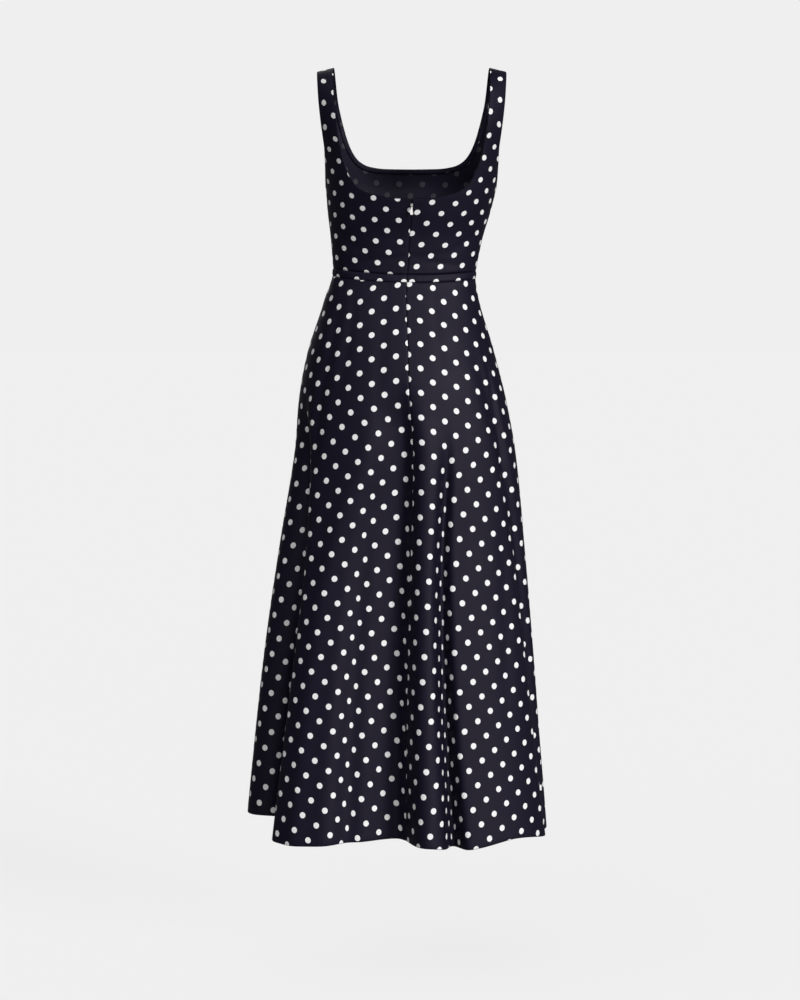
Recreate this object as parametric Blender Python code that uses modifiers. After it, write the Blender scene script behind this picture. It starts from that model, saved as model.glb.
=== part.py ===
"""A-line midi dress, worn and hollow: sleeveless bodice with a scooped square back, wide-set straps,
narrow inset waistband, flared skirt in soft folds and an invisible zip down the centre back.

Metres, +Z up. The origin lies midway between the two shoulder seams, where the straps rest on the wearer.
The front faces -Y, the back +Y, and the wearer's left is +X. Angles run round the dress in degrees from
centre back, positive towards the wearer's left, so the side seams lie at 90 and -90 and centre front at 180.
"""
import math
from collections import namedtuple

import bmesh
import bpy
import numpy as np
from mathutils import Vector

# ---------------------------------------------------------------- driving sizes
WALL = 0.0018             # cloth with its seam allowances
SEAM_GAP = 0.0003         # between two pieces at a seam
NARROW_COLUMN = 0.0010    # first strip beside an upright seam, so that both sides meet square
NARROW_TURN = 0.03        # the same beside a shoulder seam, as a share of the strap's turn over the shoulder
SIDE = 90.0               # angle of the side seams
FRONT = 180.0

BAND_TOP_Z = -0.3280      # waistband's top edge at the side seams
BAND_HEIGHT = 0.0124
BAND_BACK_DIP = 0.0085    # how much lower the waist seam lies at centre back
BAND_DIP_POWER = 1.5      # how closely that dip keeps to the middle of the back
BAND_TILT = 0.0023        # left side higher than the right, from the stance
BAND_PROUD = 0.0008

UNDERARM_Z = -0.1960      # top of the side seams
ROLL_Z = -0.100           # above this the form rolls over the shoulder to z = 0
BACK_ROLL, FRONT_ROLL = 2.0, 1.3   # powers of that roll: the front starts to roll lower down
SHOULDER_SLOPE = 0.235
STRAP_INNER_X = 0.128     # inner edge of the strap at the shoulder seam

HEM_Z = -1.264            # lowest hem
MID_Z = -0.850            # height of the folds' middle places
SQUARENESS = 2.1          # exponent of the level sections: 2 is an ellipse

# ---------------------------------------------------------------- the form, a row for each level section
Section = namedtuple("Section", "z centre_x half_width back front")
SECTIONS = (
    Section(-1.290, 0.0240, 0.2580, 0.1400, 0.1720),
    Section(-1.120, 0.0235, 0.2405, 0.1330, 0.1620),
    Section(-0.960, 0.0210, 0.2245, 0.1260, 0.1500),
    Section(-0.790, 0.0160, 0.2045, 0.1200, 0.1380),
    Section(-0.630, 0.0110, 0.1835, 0.1170, 0.1260),
    Section(-0.545, 0.0150, 0.1720, 0.1130, 0.1190),
    Section(-0.460, 0.0175, 0.1530, 0.1005, 0.1120),
    Section(-0.380, 0.0165, 0.1280, 0.0760, 0.1030),
    Section(-0.335, 0.0120, 0.1180, 0.0640, 0.0980),
    Section(-0.282, 0.0085, 0.1240, 0.0720, 0.1080),
    Section(-0.232, 0.0040, 0.1340, 0.0890, 0.1210),
    Section(-0.195, 0.0010, 0.1400, 0.1000, 0.1240),
    Section(-0.150, 0.0000, 0.1480, 0.1055, 0.1120),
    Section(-0.100, 0.0000, 0.1620, 0.1065, 0.0960),
    Section(-0.050, 0.0000, 0.1720, 0.1065, 0.0960),
    Section(+0.000, 0.0000, 0.1820, 0.1065, 0.0960),
)

# centre-back seam, a row for each height
SeamPlace = namedtuple("SeamPlace", "z angle")
CENTRE_BACK = (
    SeamPlace(-1.270, -0.6),
    SeamPlace(-0.850, -2.0),
    SeamPlace(-0.560, -2.8),
    SeamPlace(-0.460, -3.8),
    SeamPlace(-0.335, -2.2),
    SeamPlace(-0.200, -1.0),
)

# hem, a row for each place round it
HemPlace = namedtuple("HemPlace", "angle z")
HEM = (
    HemPlace(-180.0, -1.236),
    HemPlace(-140.0, -1.240),
    HemPlace(-105.0, -1.258),
    HemPlace(-80.0, -1.266),
    HemPlace(-50.0, -1.258),
    HemPlace(-24.0, -1.270),
    HemPlace(-10.0, -1.261),
    HemPlace(4.0, -1.260),
    HemPlace(40.0, -1.266),
    HemPlace(56.0, -1.263),
    HemPlace(65.0, -1.237),
    HemPlace(78.0, -1.233),
    HemPlace(110.0, -1.232),
    HemPlace(180.0, -1.236),
)

# skirt folds, a row for each: valleys with their widths in degrees towards the wearer's left and right,
# how far the valley's sides bow apart (open) and how far its floor slides under a neighbour (lean)
Fold = namedtuple("Fold", "top_z top_at mid_at hem_at depth left right open lean")
FOLDS = (
    Fold(-0.470, 1.5, 2.4, 2.2, 0.056, 8.0, 3.8, 0.002, -0.010),        # centre back, under the right lobe
    Fold(-0.560, -22.0, -18.2, -21.6, 0.034, 2.3, 1.7, 0.001, 0.000),    # right of centre back
    Fold(-0.420, -48.0, -73.0, -86.0, 0.016, 4.5, 4.0, 0.000, 0.000),    # towards the right side
    Fold(-0.600, 11.0, 18.0, 18.8, 0.021, 3.8, 4.2, 0.000, 0.000),       # shallow, left of centre back
    Fold(-0.500, 71.0, 55.5, 61.0, 0.058, 10.0, 3.4, 0.002, 0.011),      # left back, behind the main lobe
    Fold(-0.500, 112.0, 114.0, 116.0, 0.034, 4.0, 3.4, 0.001, -0.004),   # front
    Fold(-0.560, 142.0, 143.0, 145.0, 0.038, 3.4, 3.6, 0.001, 0.003),
    Fold(-0.600, 176.0, 175.0, 173.0, 0.028, 4.0, 4.0, 0.000, 0.000),
    Fold(-0.540, 212.0, 213.0, 214.0, 0.038, 3.4, 3.4, 0.001, 0.000),
    Fold(-0.500, 248.0, 252.0, 254.0, 0.034, 4.0, 3.5, 0.001, 0.004),
)
# rounded lobes that stand out between the valleys
Lobe = namedtuple("Lobe", "top_z top_at mid_at hem_at height width")
LOBES = (
    Lobe(-0.480, -9.0, -10.0, -10.5, 0.019, 5.0),
    Lobe(-0.500, 8.0, 36.0, 41.0, 0.006, 4.0),
)
FOLD_EASE = 0.12          # height over which a fold starts
FOLD_GROWTH = 0.6         # power of a fold's growth from its top to the hem
FLOOR_WIDTH = 1.3         # how wide a valley's leaning floor is against its steeper side

# ---------------------------------------------------------------- bodice edges
# neckline from centre back or centre front to the strap's inner edge
NeckPoint = namedtuple("NeckPoint", "x z")
BACK_NECK = (
    NeckPoint(0.0000, -0.2165),
    NeckPoint(0.0300, -0.2160),
    NeckPoint(0.0550, -0.2115),
    NeckPoint(0.0750, -0.2055),
    NeckPoint(0.0890, -0.1975),
    NeckPoint(0.0970, -0.1870),
    NeckPoint(0.1030, -0.1760),
    NeckPoint(0.1085, -0.1640),
    NeckPoint(0.1130, -0.1500),
)
FRONT_NECK = (
    NeckPoint(0.0000, -0.1600),
    NeckPoint(0.0450, -0.1595),
    NeckPoint(0.0720, -0.1560),
    NeckPoint(0.0880, -0.1480),
    NeckPoint(0.0980, -0.1360),
    NeckPoint(0.1050, -0.1220),
    NeckPoint(0.1110, -0.1050),
)
# strap edges, from where it leaves the bodice to the shoulder seam
StrapPoint = namedtuple("StrapPoint", "z inner_x outer_x")
BACK_STRAP = (
    StrapPoint(-0.150, 0.1130, 0.1415),
    StrapPoint(-0.133, 0.1165, 0.1420),
    StrapPoint(-0.117, 0.1197, 0.1440),
    StrapPoint(-0.085, 0.1238, 0.1480),
    StrapPoint(-0.052, 0.1268, 0.1510),
    StrapPoint(+0.000, STRAP_INNER_X, 0.1535),
)
FRONT_STRAP = (
    StrapPoint(-0.105, 0.1110, 0.1390),
    StrapPoint(-0.080, 0.1175, 0.1440),
    StrapPoint(-0.050, 0.1235, 0.1490),
    StrapPoint(+0.000, STRAP_INNER_X, 0.1535),
)
# armhole from the strap's outer edge to the side seam, in degrees before or past the side seam
ArmholePoint = namedtuple("ArmholePoint", "before_side z")
BACK_ARMHOLE = (
    ArmholePoint(13.5, -0.166),
    ArmholePoint(9.0, -0.180),
    ArmholePoint(4.5, -0.190),
    ArmholePoint(0.0, UNDERARM_Z),
)
FRONT_ARMHOLE = (
    ArmholePoint(22.0, -0.140),
    ArmholePoint(13.0, -0.166),
    ArmholePoint(6.0, -0.186),
    ArmholePoint(0.0, UNDERARM_Z),
)

# ---------------------------------------------------------------- mesh steps
NECK_STEPS, STRAP_STEPS, ARMHOLE_STEPS = 9, 3, 5
BODICE_ROWS = 9
STRAP_ROWS = 12
FINE_STEPS = 721          # points along a row while its strips are measured
LEVEL_STEP = 0.2          # degrees either side, to find which way the form runs
RISE_STEP = 0.002         # metres either side, to find which way the seam runs
BAND_COLUMNS, BAND_ROWS = 15, 3
SKIRT_COLUMNS, SKIRT_ROWS = 36, 20
ROW_CROWDING = 1.5        # rows lie closer together over the hips
FRONT_SKIRT_COLUMNS = 54

# ---------------------------------------------------------------- zip
ZIP_BOTTOM_Z = -0.475
TAPE_HALF_WIDTH = 0.011
TAPE_THICKNESS = 0.0010
TAPE_CLEARANCE = 0.0009
TAPE_ROWS = 22
TAPE_TOP_DROP = 0.004     # below the neckline
SLIDER_Z = -0.2270
SLIDER_SIZE = (0.0046, 0.0020, 0.0080)
SLIDER_ROUNDING = 0.0005
PIN_RADIUS = 0.0005
PIN_Z = 0.0016            # pin above the slider's middle
EAR_THICKNESS = 0.0008
EAR_HEIGHT = 0.0026
EAR_ROOT = 0.0012         # how deep the ears stand in the slider
EAR_TIP = 0.0015          # how far they pass the pin
EYE_LENGTH = 0.0022       # of the pull's eye, along the pin
EYE_RADIUS = 0.0014
EYE_BORE = 0.0009
PULL_LENGTH = 0.0150
PULL_WIDTH = 0.0046
PULL_NECK = 0.0020
NECK_TOP, NECK_BOTTOM = 0.6, 1.6   # of the pull's neck below the pin, in eye radii
PULL_ARC_STEPS = 12
PULL_THICKNESS = 0.0009

NAVY = (0.012, 0.011, 0.020, 1.0)
TAPE_NAVY = (0.010, 0.010, 0.018, 1.0)
NICKEL = (0.62, 0.60, 0.58, 1.0)


# ---------------------------------------------------------------- reading the tables
def column(table, name):
    return np.array([getattr(row, name) for row in table], float)


def smooth_read(at, knots, values):
    """Values on a monotone cubic through the rows, held level beyond the first and last."""
    order = np.argsort(knots)
    knots, values = knots[order], values[order]
    steps = np.diff(knots)
    rises = np.diff(values) / steps
    slopes = np.concatenate([rises[:1], np.zeros(len(values) - 2), rises[-1:]])
    for i in range(1, len(values) - 1):
        if rises[i - 1] * rises[i] > 0:
            before = 2 * steps[i] + steps[i - 1]
            after = steps[i] + 2 * steps[i - 1]
            slopes[i] = (before + after) / (before / rises[i - 1] + after / rises[i])
    at = np.clip(at, knots[0], knots[-1])
    i = np.clip(np.searchsorted(knots, at, side="right") - 1, 0, len(knots) - 2)
    step = knots[i + 1] - knots[i]
    t = (at - knots[i]) / step
    return (
        (2 * t**3 - 3 * t**2 + 1) * values[i]
        + (t**3 - 2 * t**2 + t) * step * slopes[i]
        + (3 * t**2 - 2 * t**3) * values[i + 1]
        + (t**3 - t**2) * step * slopes[i + 1]
    )


def read(table, name, at, key="z"):
    return smooth_read(at, column(table, key), column(table, name))


def ease(t):
    t = np.clip(t, 0.0, 1.0)
    return t * t * (3 - 2 * t)


# ---------------------------------------------------------------- the surface
def form_point(angle, z):
    """Point of the smooth form under the folds, as an array of x, y, z."""
    turn = np.radians(angle)
    across, along = np.sin(turn), np.cos(turn)
    rise = np.clip((z - ROLL_Z) / -ROLL_Z, 0.0, 1.0)
    roll = np.where(along > 0, 1 - rise**BACK_ROLL, 1 - rise**FRONT_ROLL)
    depth = np.where(along > 0, read(SECTIONS, "back", z), read(SECTIONS, "front", z)) * np.sqrt(roll)
    power = 2 / SQUARENESS
    from_centre = read(SECTIONS, "half_width", z) * np.sign(across) * np.abs(across) ** power
    x = read(SECTIONS, "centre_x", z) + from_centre
    y = depth * np.sign(along) * np.abs(along) ** power
    drop = SHOULDER_SLOPE * (np.abs(from_centre) - STRAP_INNER_X) * rise**2
    return np.stack([x, y, z - drop], -1)


def form_angle(x, z, front):
    """Angle at which the form has this x at this height, on the front or the back."""
    share = (x - read(SECTIONS, "centre_x", z)) / read(SECTIONS, "half_width", z)
    turn = np.degrees(np.arcsin(np.clip(np.sign(share) * np.abs(share) ** (SQUARENESS / 2), -1, 1)))
    return FRONT - turn if front else turn


def out_and_along(angle, z):
    """Unit vectors square to the form and along its level section, towards the wearer's left."""
    run = form_point(angle + LEVEL_STEP, z) - form_point(angle - LEVEL_STEP, z)
    run[..., 2] = 0.0
    run /= np.linalg.norm(run, axis=-1, keepdims=True)
    out = np.stack([-run[..., 1], run[..., 0], np.zeros_like(run[..., 0])], -1)
    return out, run


def place_of(fold, z):
    knots = np.array([HEM_Z, MID_Z, fold.top_z])
    return smooth_read(z, knots, np.array([fold.hem_at, fold.mid_at, fold.top_at]))


def growth_of(fold, z):
    below = np.clip(fold.top_z - z, 0.0, None)
    return (below / (fold.top_z - HEM_Z)) ** FOLD_GROWTH * ease(below / FOLD_EASE)


def turn_between(angle, place):
    return (angle - place + 180.0) % 360.0 - 180.0


def cloth_point(angle, z):
    """Point of the cloth's outer face, with the skirt's folds."""
    point = form_point(angle, z)
    out, along = out_and_along(angle, z)
    inward = np.zeros_like(point[..., 0])
    sideways = np.zeros_like(inward)
    for fold in FOLDS:
        growth = growth_of(fold, z)
        turn = turn_between(angle, place_of(fold, z))
        share = turn / np.where(turn > 0, fold.left, fold.right)
        floor = turn / (FLOOR_WIDTH * min(fold.left, fold.right))
        inward += fold.depth * growth * np.exp(-share**2 / 2)
        sideways += growth * fold.lean * np.exp(-floor**2 / 2)
        sideways += growth * fold.open * share * np.exp((1 - share**2) / 2)
    for lobe in LOBES:
        share = turn_between(angle, place_of(lobe, z)) / lobe.width
        inward -= lobe.height * growth_of(lobe, z) * np.exp(-share**2 / 2)
    return point - out * inward[..., None] + along * sideways[..., None]


# ---------------------------------------------------------------- seam lines
def centre_back(z):
    return read(CENTRE_BACK, "angle", z)


# first and last angle of each panel at a height
def left_back_edges(z):
    return centre_back(z), SIDE


def right_back_edges(z):
    return -SIDE, centre_back(z)


def front_edges(z):
    return SIDE, 360 - SIDE


def band_top(angle):
    turn = np.radians(angle)
    dip = BAND_BACK_DIP * np.clip(np.cos(turn), 0, 1) ** BAND_DIP_POWER
    return BAND_TOP_Z + BAND_TILT * np.sin(turn) - dip


def band_bottom(angle):
    return band_top(angle) - BAND_HEIGHT


def hem_z(angle):
    return read(HEM, "z", turn_between(angle, 0.0), key="angle")


# ---------------------------------------------------------------- grids of points, rows from top to bottom
def even_angles(start, end, height_at, count):
    """Angles of count strips from seam to seam, evenly wide along the cloth but for a narrow first and last.

    height_at gives the row's height at an angle.
    """
    angles = np.linspace(start, end, FINE_STEPS)
    points = cloth_point(angles, height_at(angles))
    steps = np.linalg.norm(np.diff(points, axis=0), axis=1)
    run = np.concatenate([[0.0], np.cumsum(steps)])
    even = np.linspace(NARROW_COLUMN, run[-1] - NARROW_COLUMN, count - 1)
    return np.interp(np.concatenate([[0.0], even, run[-1:]]), run, angles)


def pull_in(grid, upright=(True, True), level=(False, False)):
    """Moves the grid's seam edges back by half the gap: first and last column, first and last row."""
    grid = grid.copy()
    for wanted, edge, inner in ((upright[0], 0, 1), (upright[1], -1, -2)):
        if wanted:
            step = grid[:, inner] - grid[:, edge]
            grid[:, edge] += step / np.linalg.norm(step, axis=-1, keepdims=True) * SEAM_GAP / 2
    for wanted, edge, inner in ((level[0], 0, 1), (level[1], -1, -2)):
        if wanted:
            step = grid[inner] - grid[edge]
            grid[edge] += step / np.linalg.norm(step, axis=-1, keepdims=True) * SEAM_GAP / 2
    return grid


def skirt_grid(edges, columns):
    """edges gives the panel's first and last angle at a height."""
    rows = []
    for down in np.linspace(0.0, 1.0, SKIRT_ROWS + 1) ** ROW_CROWDING:
        def height(angles, down=down):
            top = band_bottom(angles)
            return top + (hem_z(angles) - top) * down
        angles = even_angles(*edges(height(0.0)), height, columns)
        rows.append(cloth_point(angles, height(angles)))
    return pull_in(np.array(rows), level=(True, False))


def band_grid(edges, columns):
    rows = []
    for down in np.linspace(0.0, 1.0, BAND_ROWS + 1):
        def height(angles, down=down):
            return band_top(angles) - BAND_HEIGHT * down
        angles = even_angles(*edges(BAND_TOP_Z), height, columns)
        out, _ = out_and_along(angles, height(angles))
        proud = BAND_PROUD * math.sin(math.pi * down)
        rows.append(cloth_point(angles, height(angles)) + out * proud)
    return pull_in(np.array(rows), level=(True, True))


def strap_grid(strap, front, mirror, base):
    """Rows from the shoulder seam down to base, the points that the bodice's top edge already has."""
    share = np.linspace(0.0, 1.0, STRAP_STEPS + 1)
    turns = np.concatenate([[1.0], np.linspace(1 - NARROW_TURN, 0.0, STRAP_ROWS)])
    lift = np.sin(turns * math.pi / 2)
    heights = strap[0].z * (1 - lift)
    rows = []
    for z in heights[:-1]:
        inner, outer = read(strap, "inner_x", z), read(strap, "outer_x", z)
        x = (inner + (outer - inner) * share) * mirror
        angles = form_angle(x, np.full_like(x, z), front)
        rows.append(cloth_point(angles, np.full_like(x, z)))
    rows = np.array(rows)
    if front == (mirror > 0):
        rows = rows[:, ::-1]
    return pull_in(np.concatenate([rows, base[None]]), upright=(False, False), level=(True, False))


def neck_edge(neck, front, mirror):
    """Angles and heights from the centre line to the strap, evenly spaced along the neckline."""
    x, z = column(neck, "x"), column(neck, "z")
    run = np.concatenate([[0.0], np.cumsum(np.hypot(np.diff(x), np.diff(z)))])
    at = np.linspace(0.0, run[-1], NECK_STEPS + 1)
    edge_x, edge_z = smooth_read(at, run, x), smooth_read(at, run, z)
    return form_angle(edge_x * mirror, edge_z, front), edge_z


def half_top_edge(neck, strap, armhole, front, mirror):
    """Angles and heights of one half's top edge, from the centre line out to the side seam."""
    neck_angles, neck_heights = neck_edge(neck, front, mirror)
    base = strap[0]
    share = np.linspace(0.0, 1.0, STRAP_STEPS + 1)
    base_x = (base.inner_x + (base.outer_x - base.inner_x) * share) * mirror
    base_angles = form_angle(base_x, np.full_like(base_x, base.z), front)
    before = np.array([abs(turn_between(base_angles[-1], SIDE * mirror))] + [p.before_side for p in armhole])
    heights = np.array([base.z] + [p.z for p in armhole])
    at = np.linspace(0.0, 1.0, ARMHOLE_STEPS + 1)[1:] * (len(heights) - 1)
    places = np.arange(len(heights), dtype=float)
    inward = 1 if front else -1
    hole_angles = SIDE * mirror + inward * mirror * smooth_read(at, places, before)
    hole_heights = smooth_read(at, places, heights)
    if front:
        hole_angles = np.where(hole_angles < 0, hole_angles + 360, hole_angles)
    angles = np.concatenate([neck_angles, base_angles[1:], hole_angles])
    heights = np.concatenate([neck_heights, np.full(STRAP_STEPS, base.z), hole_heights])
    return angles, heights


def bodice_grid(top_angles, top_heights, bottom_angles, upright):
    """Ruled in angle and height between the waist seam and the top edge."""
    rows = []
    for down in np.linspace(0.0, 1.0, BODICE_ROWS + 1):
        angles = top_angles + (bottom_angles - top_angles) * down
        heights = top_heights + (band_top(bottom_angles) - top_heights) * down
        rows.append(cloth_point(angles, heights))
    return pull_in(np.array(rows), upright=upright, level=(False, True))


def back_bodice_grids(mirror):
    """Bodice back and its strap. mirror is 1 on the wearer's left and -1 on the right."""
    angles, heights = half_top_edge(BACK_NECK, BACK_STRAP, BACK_ARMHOLE, False, mirror)
    angles[0] = centre_back(heights[0])
    steps = len(angles) - 1
    bottom = even_angles(centre_back(BAND_TOP_Z), SIDE * mirror, band_top, steps)
    if mirror < 0:
        angles, heights, bottom = angles[::-1], heights[::-1], bottom[::-1]
    body = bodice_grid(angles, heights, bottom, (True, True))
    first = NECK_STEPS if mirror > 0 else ARMHOLE_STEPS
    base = body[0, first : first + STRAP_STEPS + 1]
    return [body, strap_grid(BACK_STRAP, False, mirror, base)]


def front_bodice_grids():
    """One front from side seam to side seam, with both straps."""
    left_angles, left_heights = half_top_edge(FRONT_NECK, FRONT_STRAP, FRONT_ARMHOLE, True, 1)
    right_angles, right_heights = half_top_edge(FRONT_NECK, FRONT_STRAP, FRONT_ARMHOLE, True, -1)
    angles = np.concatenate([left_angles[::-1], right_angles[1:]])
    heights = np.concatenate([left_heights[::-1], right_heights[1:]])
    steps = len(angles) - 1
    bottom = even_angles(*front_edges(BAND_TOP_Z), band_top, steps)
    body = bodice_grid(angles, heights, bottom, (True, True))
    left_base = body[0, ARMHOLE_STEPS : ARMHOLE_STEPS + STRAP_STEPS + 1]
    right_first = steps - ARMHOLE_STEPS - STRAP_STEPS
    right_base = body[0, right_first : right_first + STRAP_STEPS + 1]
    return [
        body,
        strap_grid(FRONT_STRAP, True, 1, left_base),
        strap_grid(FRONT_STRAP, True, -1, right_base),
    ]


# ---------------------------------------------------------------- meshes and materials
def material(name, colour, roughness, metallic=0.0):
    made = bpy.data.materials.new(name)
    made.use_nodes = True
    shader = made.node_tree.nodes["Principled BSDF"]
    shader.inputs["Base Color"].default_value = colour
    shader.inputs["Roughness"].default_value = roughness
    shader.inputs["Metallic"].default_value = metallic
    return made


def shell(name, grids, home, finish, wall=WALL):
    """One cloth piece: the grids welded where they share an edge, with a wall laid on the inside."""
    mesh = bmesh.new()
    for grid in grids:
        rows, columns = grid.shape[:2]
        corners = [[mesh.verts.new(point) for point in row] for row in grid]
        for r in range(rows - 1):
            for c in range(columns - 1):
                quad = (corners[r][c], corners[r][c + 1], corners[r + 1][c + 1], corners[r + 1][c])
                mesh.faces.new(quad)
    bmesh.ops.remove_doubles(mesh, verts=mesh.verts, dist=1e-6)
    data = bpy.data.meshes.new(name)
    mesh.to_mesh(data)
    mesh.free()
    data.shade_smooth()
    piece = bpy.data.objects.new(name, data)
    home.objects.link(piece)
    data.materials.append(finish)
    solid = piece.modifiers.new("Wall", "SOLIDIFY")
    solid.thickness = wall
    solid.offset = -1.0
    return piece


def add_bodice(home, finish):
    shell("bodice_back_left", back_bodice_grids(1), home, finish)
    shell("bodice_back_right", back_bodice_grids(-1), home, finish)
    shell("bodice_front", front_bodice_grids(), home, finish)


def add_waistband(home, finish):
    shell("waistband_back_left", [band_grid(left_back_edges, BAND_COLUMNS)], home, finish)
    shell("waistband_back_right", [band_grid(right_back_edges, BAND_COLUMNS)], home, finish)
    shell("waistband_front", [band_grid(front_edges, 2 * BAND_COLUMNS)], home, finish)


def add_skirt(home, finish):
    shell("skirt_back_left", [skirt_grid(left_back_edges, SKIRT_COLUMNS)], home, finish)
    shell("skirt_back_right", [skirt_grid(right_back_edges, SKIRT_COLUMNS)], home, finish)
    shell("skirt_front", [skirt_grid(front_edges, FRONT_SKIRT_COLUMNS)], home, finish)


# ---------------------------------------------------------------- zip
def back_frame(z):
    """Point on the centre-back seam at this height, its outward vector and its upward vector."""
    angle = centre_back(z)
    point = cloth_point(angle, z)
    above, below = z + RISE_STEP, z - RISE_STEP
    rise = cloth_point(centre_back(above), above) - cloth_point(centre_back(below), below)
    rise /= np.linalg.norm(rise)
    across = np.array([-1.0, 0.0, 0.0])
    out = np.cross(across, rise)
    out /= np.linalg.norm(out)
    return point, out, rise


def add_zip_tape(home, finish):
    """Both tapes and the coil between them, closed, as one strip behind the seam."""
    top = BACK_NECK[0].z - TAPE_TOP_DROP
    inset = WALL + TAPE_CLEARANCE
    rows = []
    for z in np.linspace(top, ZIP_BOTTOM_Z, TAPE_ROWS):
        centre = centre_back(z)
        per_degree = np.linalg.norm(cloth_point(centre + 1.0, z) - cloth_point(centre, z))
        angles = centre + np.array([-1.0, -0.5, 0.0, 0.5, 1.0]) * TAPE_HALF_WIDTH / per_degree
        heights = np.full_like(angles, z)
        _, out, _ = back_frame(z)
        rows.append(cloth_point(angles, heights) - out * inset)
    shell("zip_tape", [np.array(rows)], home, finish, wall=TAPE_THICKNESS)


def joined(target, others, name):
    """Boolean union of closed meshes into the first one."""
    for other in others:
        union = target.modifiers.new("Join", "BOOLEAN")
        union.operation = "UNION"
        union.object = other
    graph = bpy.context.evaluated_depsgraph_get()
    made = bpy.data.meshes.new_from_object(target.evaluated_get(graph))
    made.name = name
    piece = bpy.data.objects.new(name, made)
    piece.matrix_world = target.matrix_world
    for other in [target, *others]:
        bpy.data.objects.remove(other)
    return piece


def block(size, location, bevel=0.0):
    bpy.ops.mesh.primitive_cube_add(size=1.0, location=location)
    piece = bpy.context.object
    piece.scale = size
    bpy.ops.object.transform_apply(location=False, rotation=False, scale=True)
    if bevel:
        rounding = piece.modifiers.new("Edges", "BEVEL")
        rounding.width = bevel
        rounding.segments = 2
    return piece


def rod(radius, length, location, sides=16):
    """Cylinder along X."""
    bpy.ops.mesh.primitive_cylinder_add(
        vertices=sides, radius=radius, depth=length, location=location, rotation=(0, math.pi / 2, 0)
    )
    return bpy.context.object


def add_zip_slider(home, finish):
    """Slider with two ears and a pin, built upright at the origin of a holder that leans with the cloth."""
    point, out, rise = back_frame(SLIDER_Z)
    holder = bpy.data.objects.new("slider_holder", None)
    home.objects.link(holder)
    lean = math.atan2(rise[1], rise[2])
    seat = point + out * (SEAM_GAP + SLIDER_SIZE[1] / 2)
    holder.location = seat
    holder.rotation_euler = (-lean, 0, 0)
    ear_x = EYE_LENGTH / 2 + SEAM_GAP + EAR_THICKNESS / 2
    pin_y = SLIDER_SIZE[1] / 2 + EYE_RADIUS + SEAM_GAP
    body = block(SLIDER_SIZE, (0, 0, 0), bevel=SLIDER_ROUNDING)
    ear_size = (EAR_THICKNESS, pin_y + EAR_TIP + EAR_ROOT, EAR_HEIGHT)
    ear_y = (pin_y + EAR_TIP - EAR_ROOT) / 2
    ears = [block(ear_size, (side * ear_x, ear_y, PIN_Z)) for side in (-1, 1)]
    pin = rod(PIN_RADIUS, 2 * ear_x, (0, pin_y, PIN_Z))
    bpy.context.view_layer.update()
    slider = joined(body, [*ears, pin], "zip_slider")
    home.objects.link(slider)
    slider.parent = holder
    slider.data.materials.clear()
    slider.data.materials.append(finish)
    bpy.context.view_layer.update()
    return holder.matrix_world @ Vector((0, pin_y, PIN_Z))


def pull_corners():
    """The tab's outline below its eye: a narrow neck that widens to a round end."""
    neck_top, neck_bottom = -NECK_TOP * EYE_RADIUS, -NECK_BOTTOM * EYE_RADIUS
    belly = PULL_LENGTH - PULL_WIDTH / 2
    corners = [(PULL_NECK / 2, neck_top), (PULL_NECK / 2, neck_bottom)]
    for step in range(PULL_ARC_STEPS + 1):
        turn = math.pi * step / PULL_ARC_STEPS
        corners.append((PULL_WIDTH / 2 * math.cos(turn), -belly - PULL_WIDTH / 2 * math.sin(turn)))
    return corners + [(-PULL_NECK / 2, neck_bottom), (-PULL_NECK / 2, neck_top)]


def add_zip_pull(home, finish, pivot):
    """Drop-shaped tab hanging straight down from the slider's pin, with the hinge axis through its eye."""
    outline = bpy.data.curves.new("pull_outline", "CURVE")
    outline.dimensions = "2D"
    outline.fill_mode = "BOTH"
    outline.extrude = PULL_THICKNESS / 2
    line = outline.splines.new("POLY")
    corners = pull_corners()
    line.points.add(len(corners) - 1)
    for place, (x, y) in zip(line.points, corners):
        place.co = (x, y, 0, 1)
    line.use_cyclic_u = True
    flat = bpy.data.objects.new("pull_flat", outline)
    home.objects.link(flat)
    flat.rotation_euler = (math.pi / 2, 0, 0)
    flat.location = pivot
    bpy.context.view_layer.update()
    graph = bpy.context.evaluated_depsgraph_get()
    tab_mesh = bpy.data.meshes.new_from_object(flat.evaluated_get(graph))
    weld = bmesh.new()
    weld.from_mesh(tab_mesh)
    bmesh.ops.remove_doubles(weld, verts=weld.verts, dist=1e-6)
    bmesh.ops.recalc_face_normals(weld, faces=weld.faces)
    weld.to_mesh(tab_mesh)
    weld.free()
    tab = bpy.data.objects.new("pull_tab", tab_mesh)
    tab.matrix_world = flat.matrix_world
    home.objects.link(tab)
    bpy.data.objects.remove(flat)
    eye = rod(EYE_RADIUS, EYE_LENGTH, pivot)
    bpy.context.view_layer.update()
    solid = joined(tab, [eye], "zip_pull_solid")
    home.objects.link(solid)
    bore = rod(EYE_BORE, EYE_LENGTH * 2, pivot)
    bpy.context.view_layer.update()
    cut = solid.modifiers.new("Bore", "BOOLEAN")
    cut.operation = "DIFFERENCE"
    cut.object = bore
    graph = bpy.context.evaluated_depsgraph_get()
    made = bpy.data.meshes.new_from_object(solid.evaluated_get(graph))
    pull = bpy.data.objects.new("zip_pull", made)
    pull.matrix_world = solid.matrix_world
    home.objects.link(pull)
    bpy.data.objects.remove(solid)
    bpy.data.objects.remove(bore)
    made.materials.clear()
    made.materials.append(finish)


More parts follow.
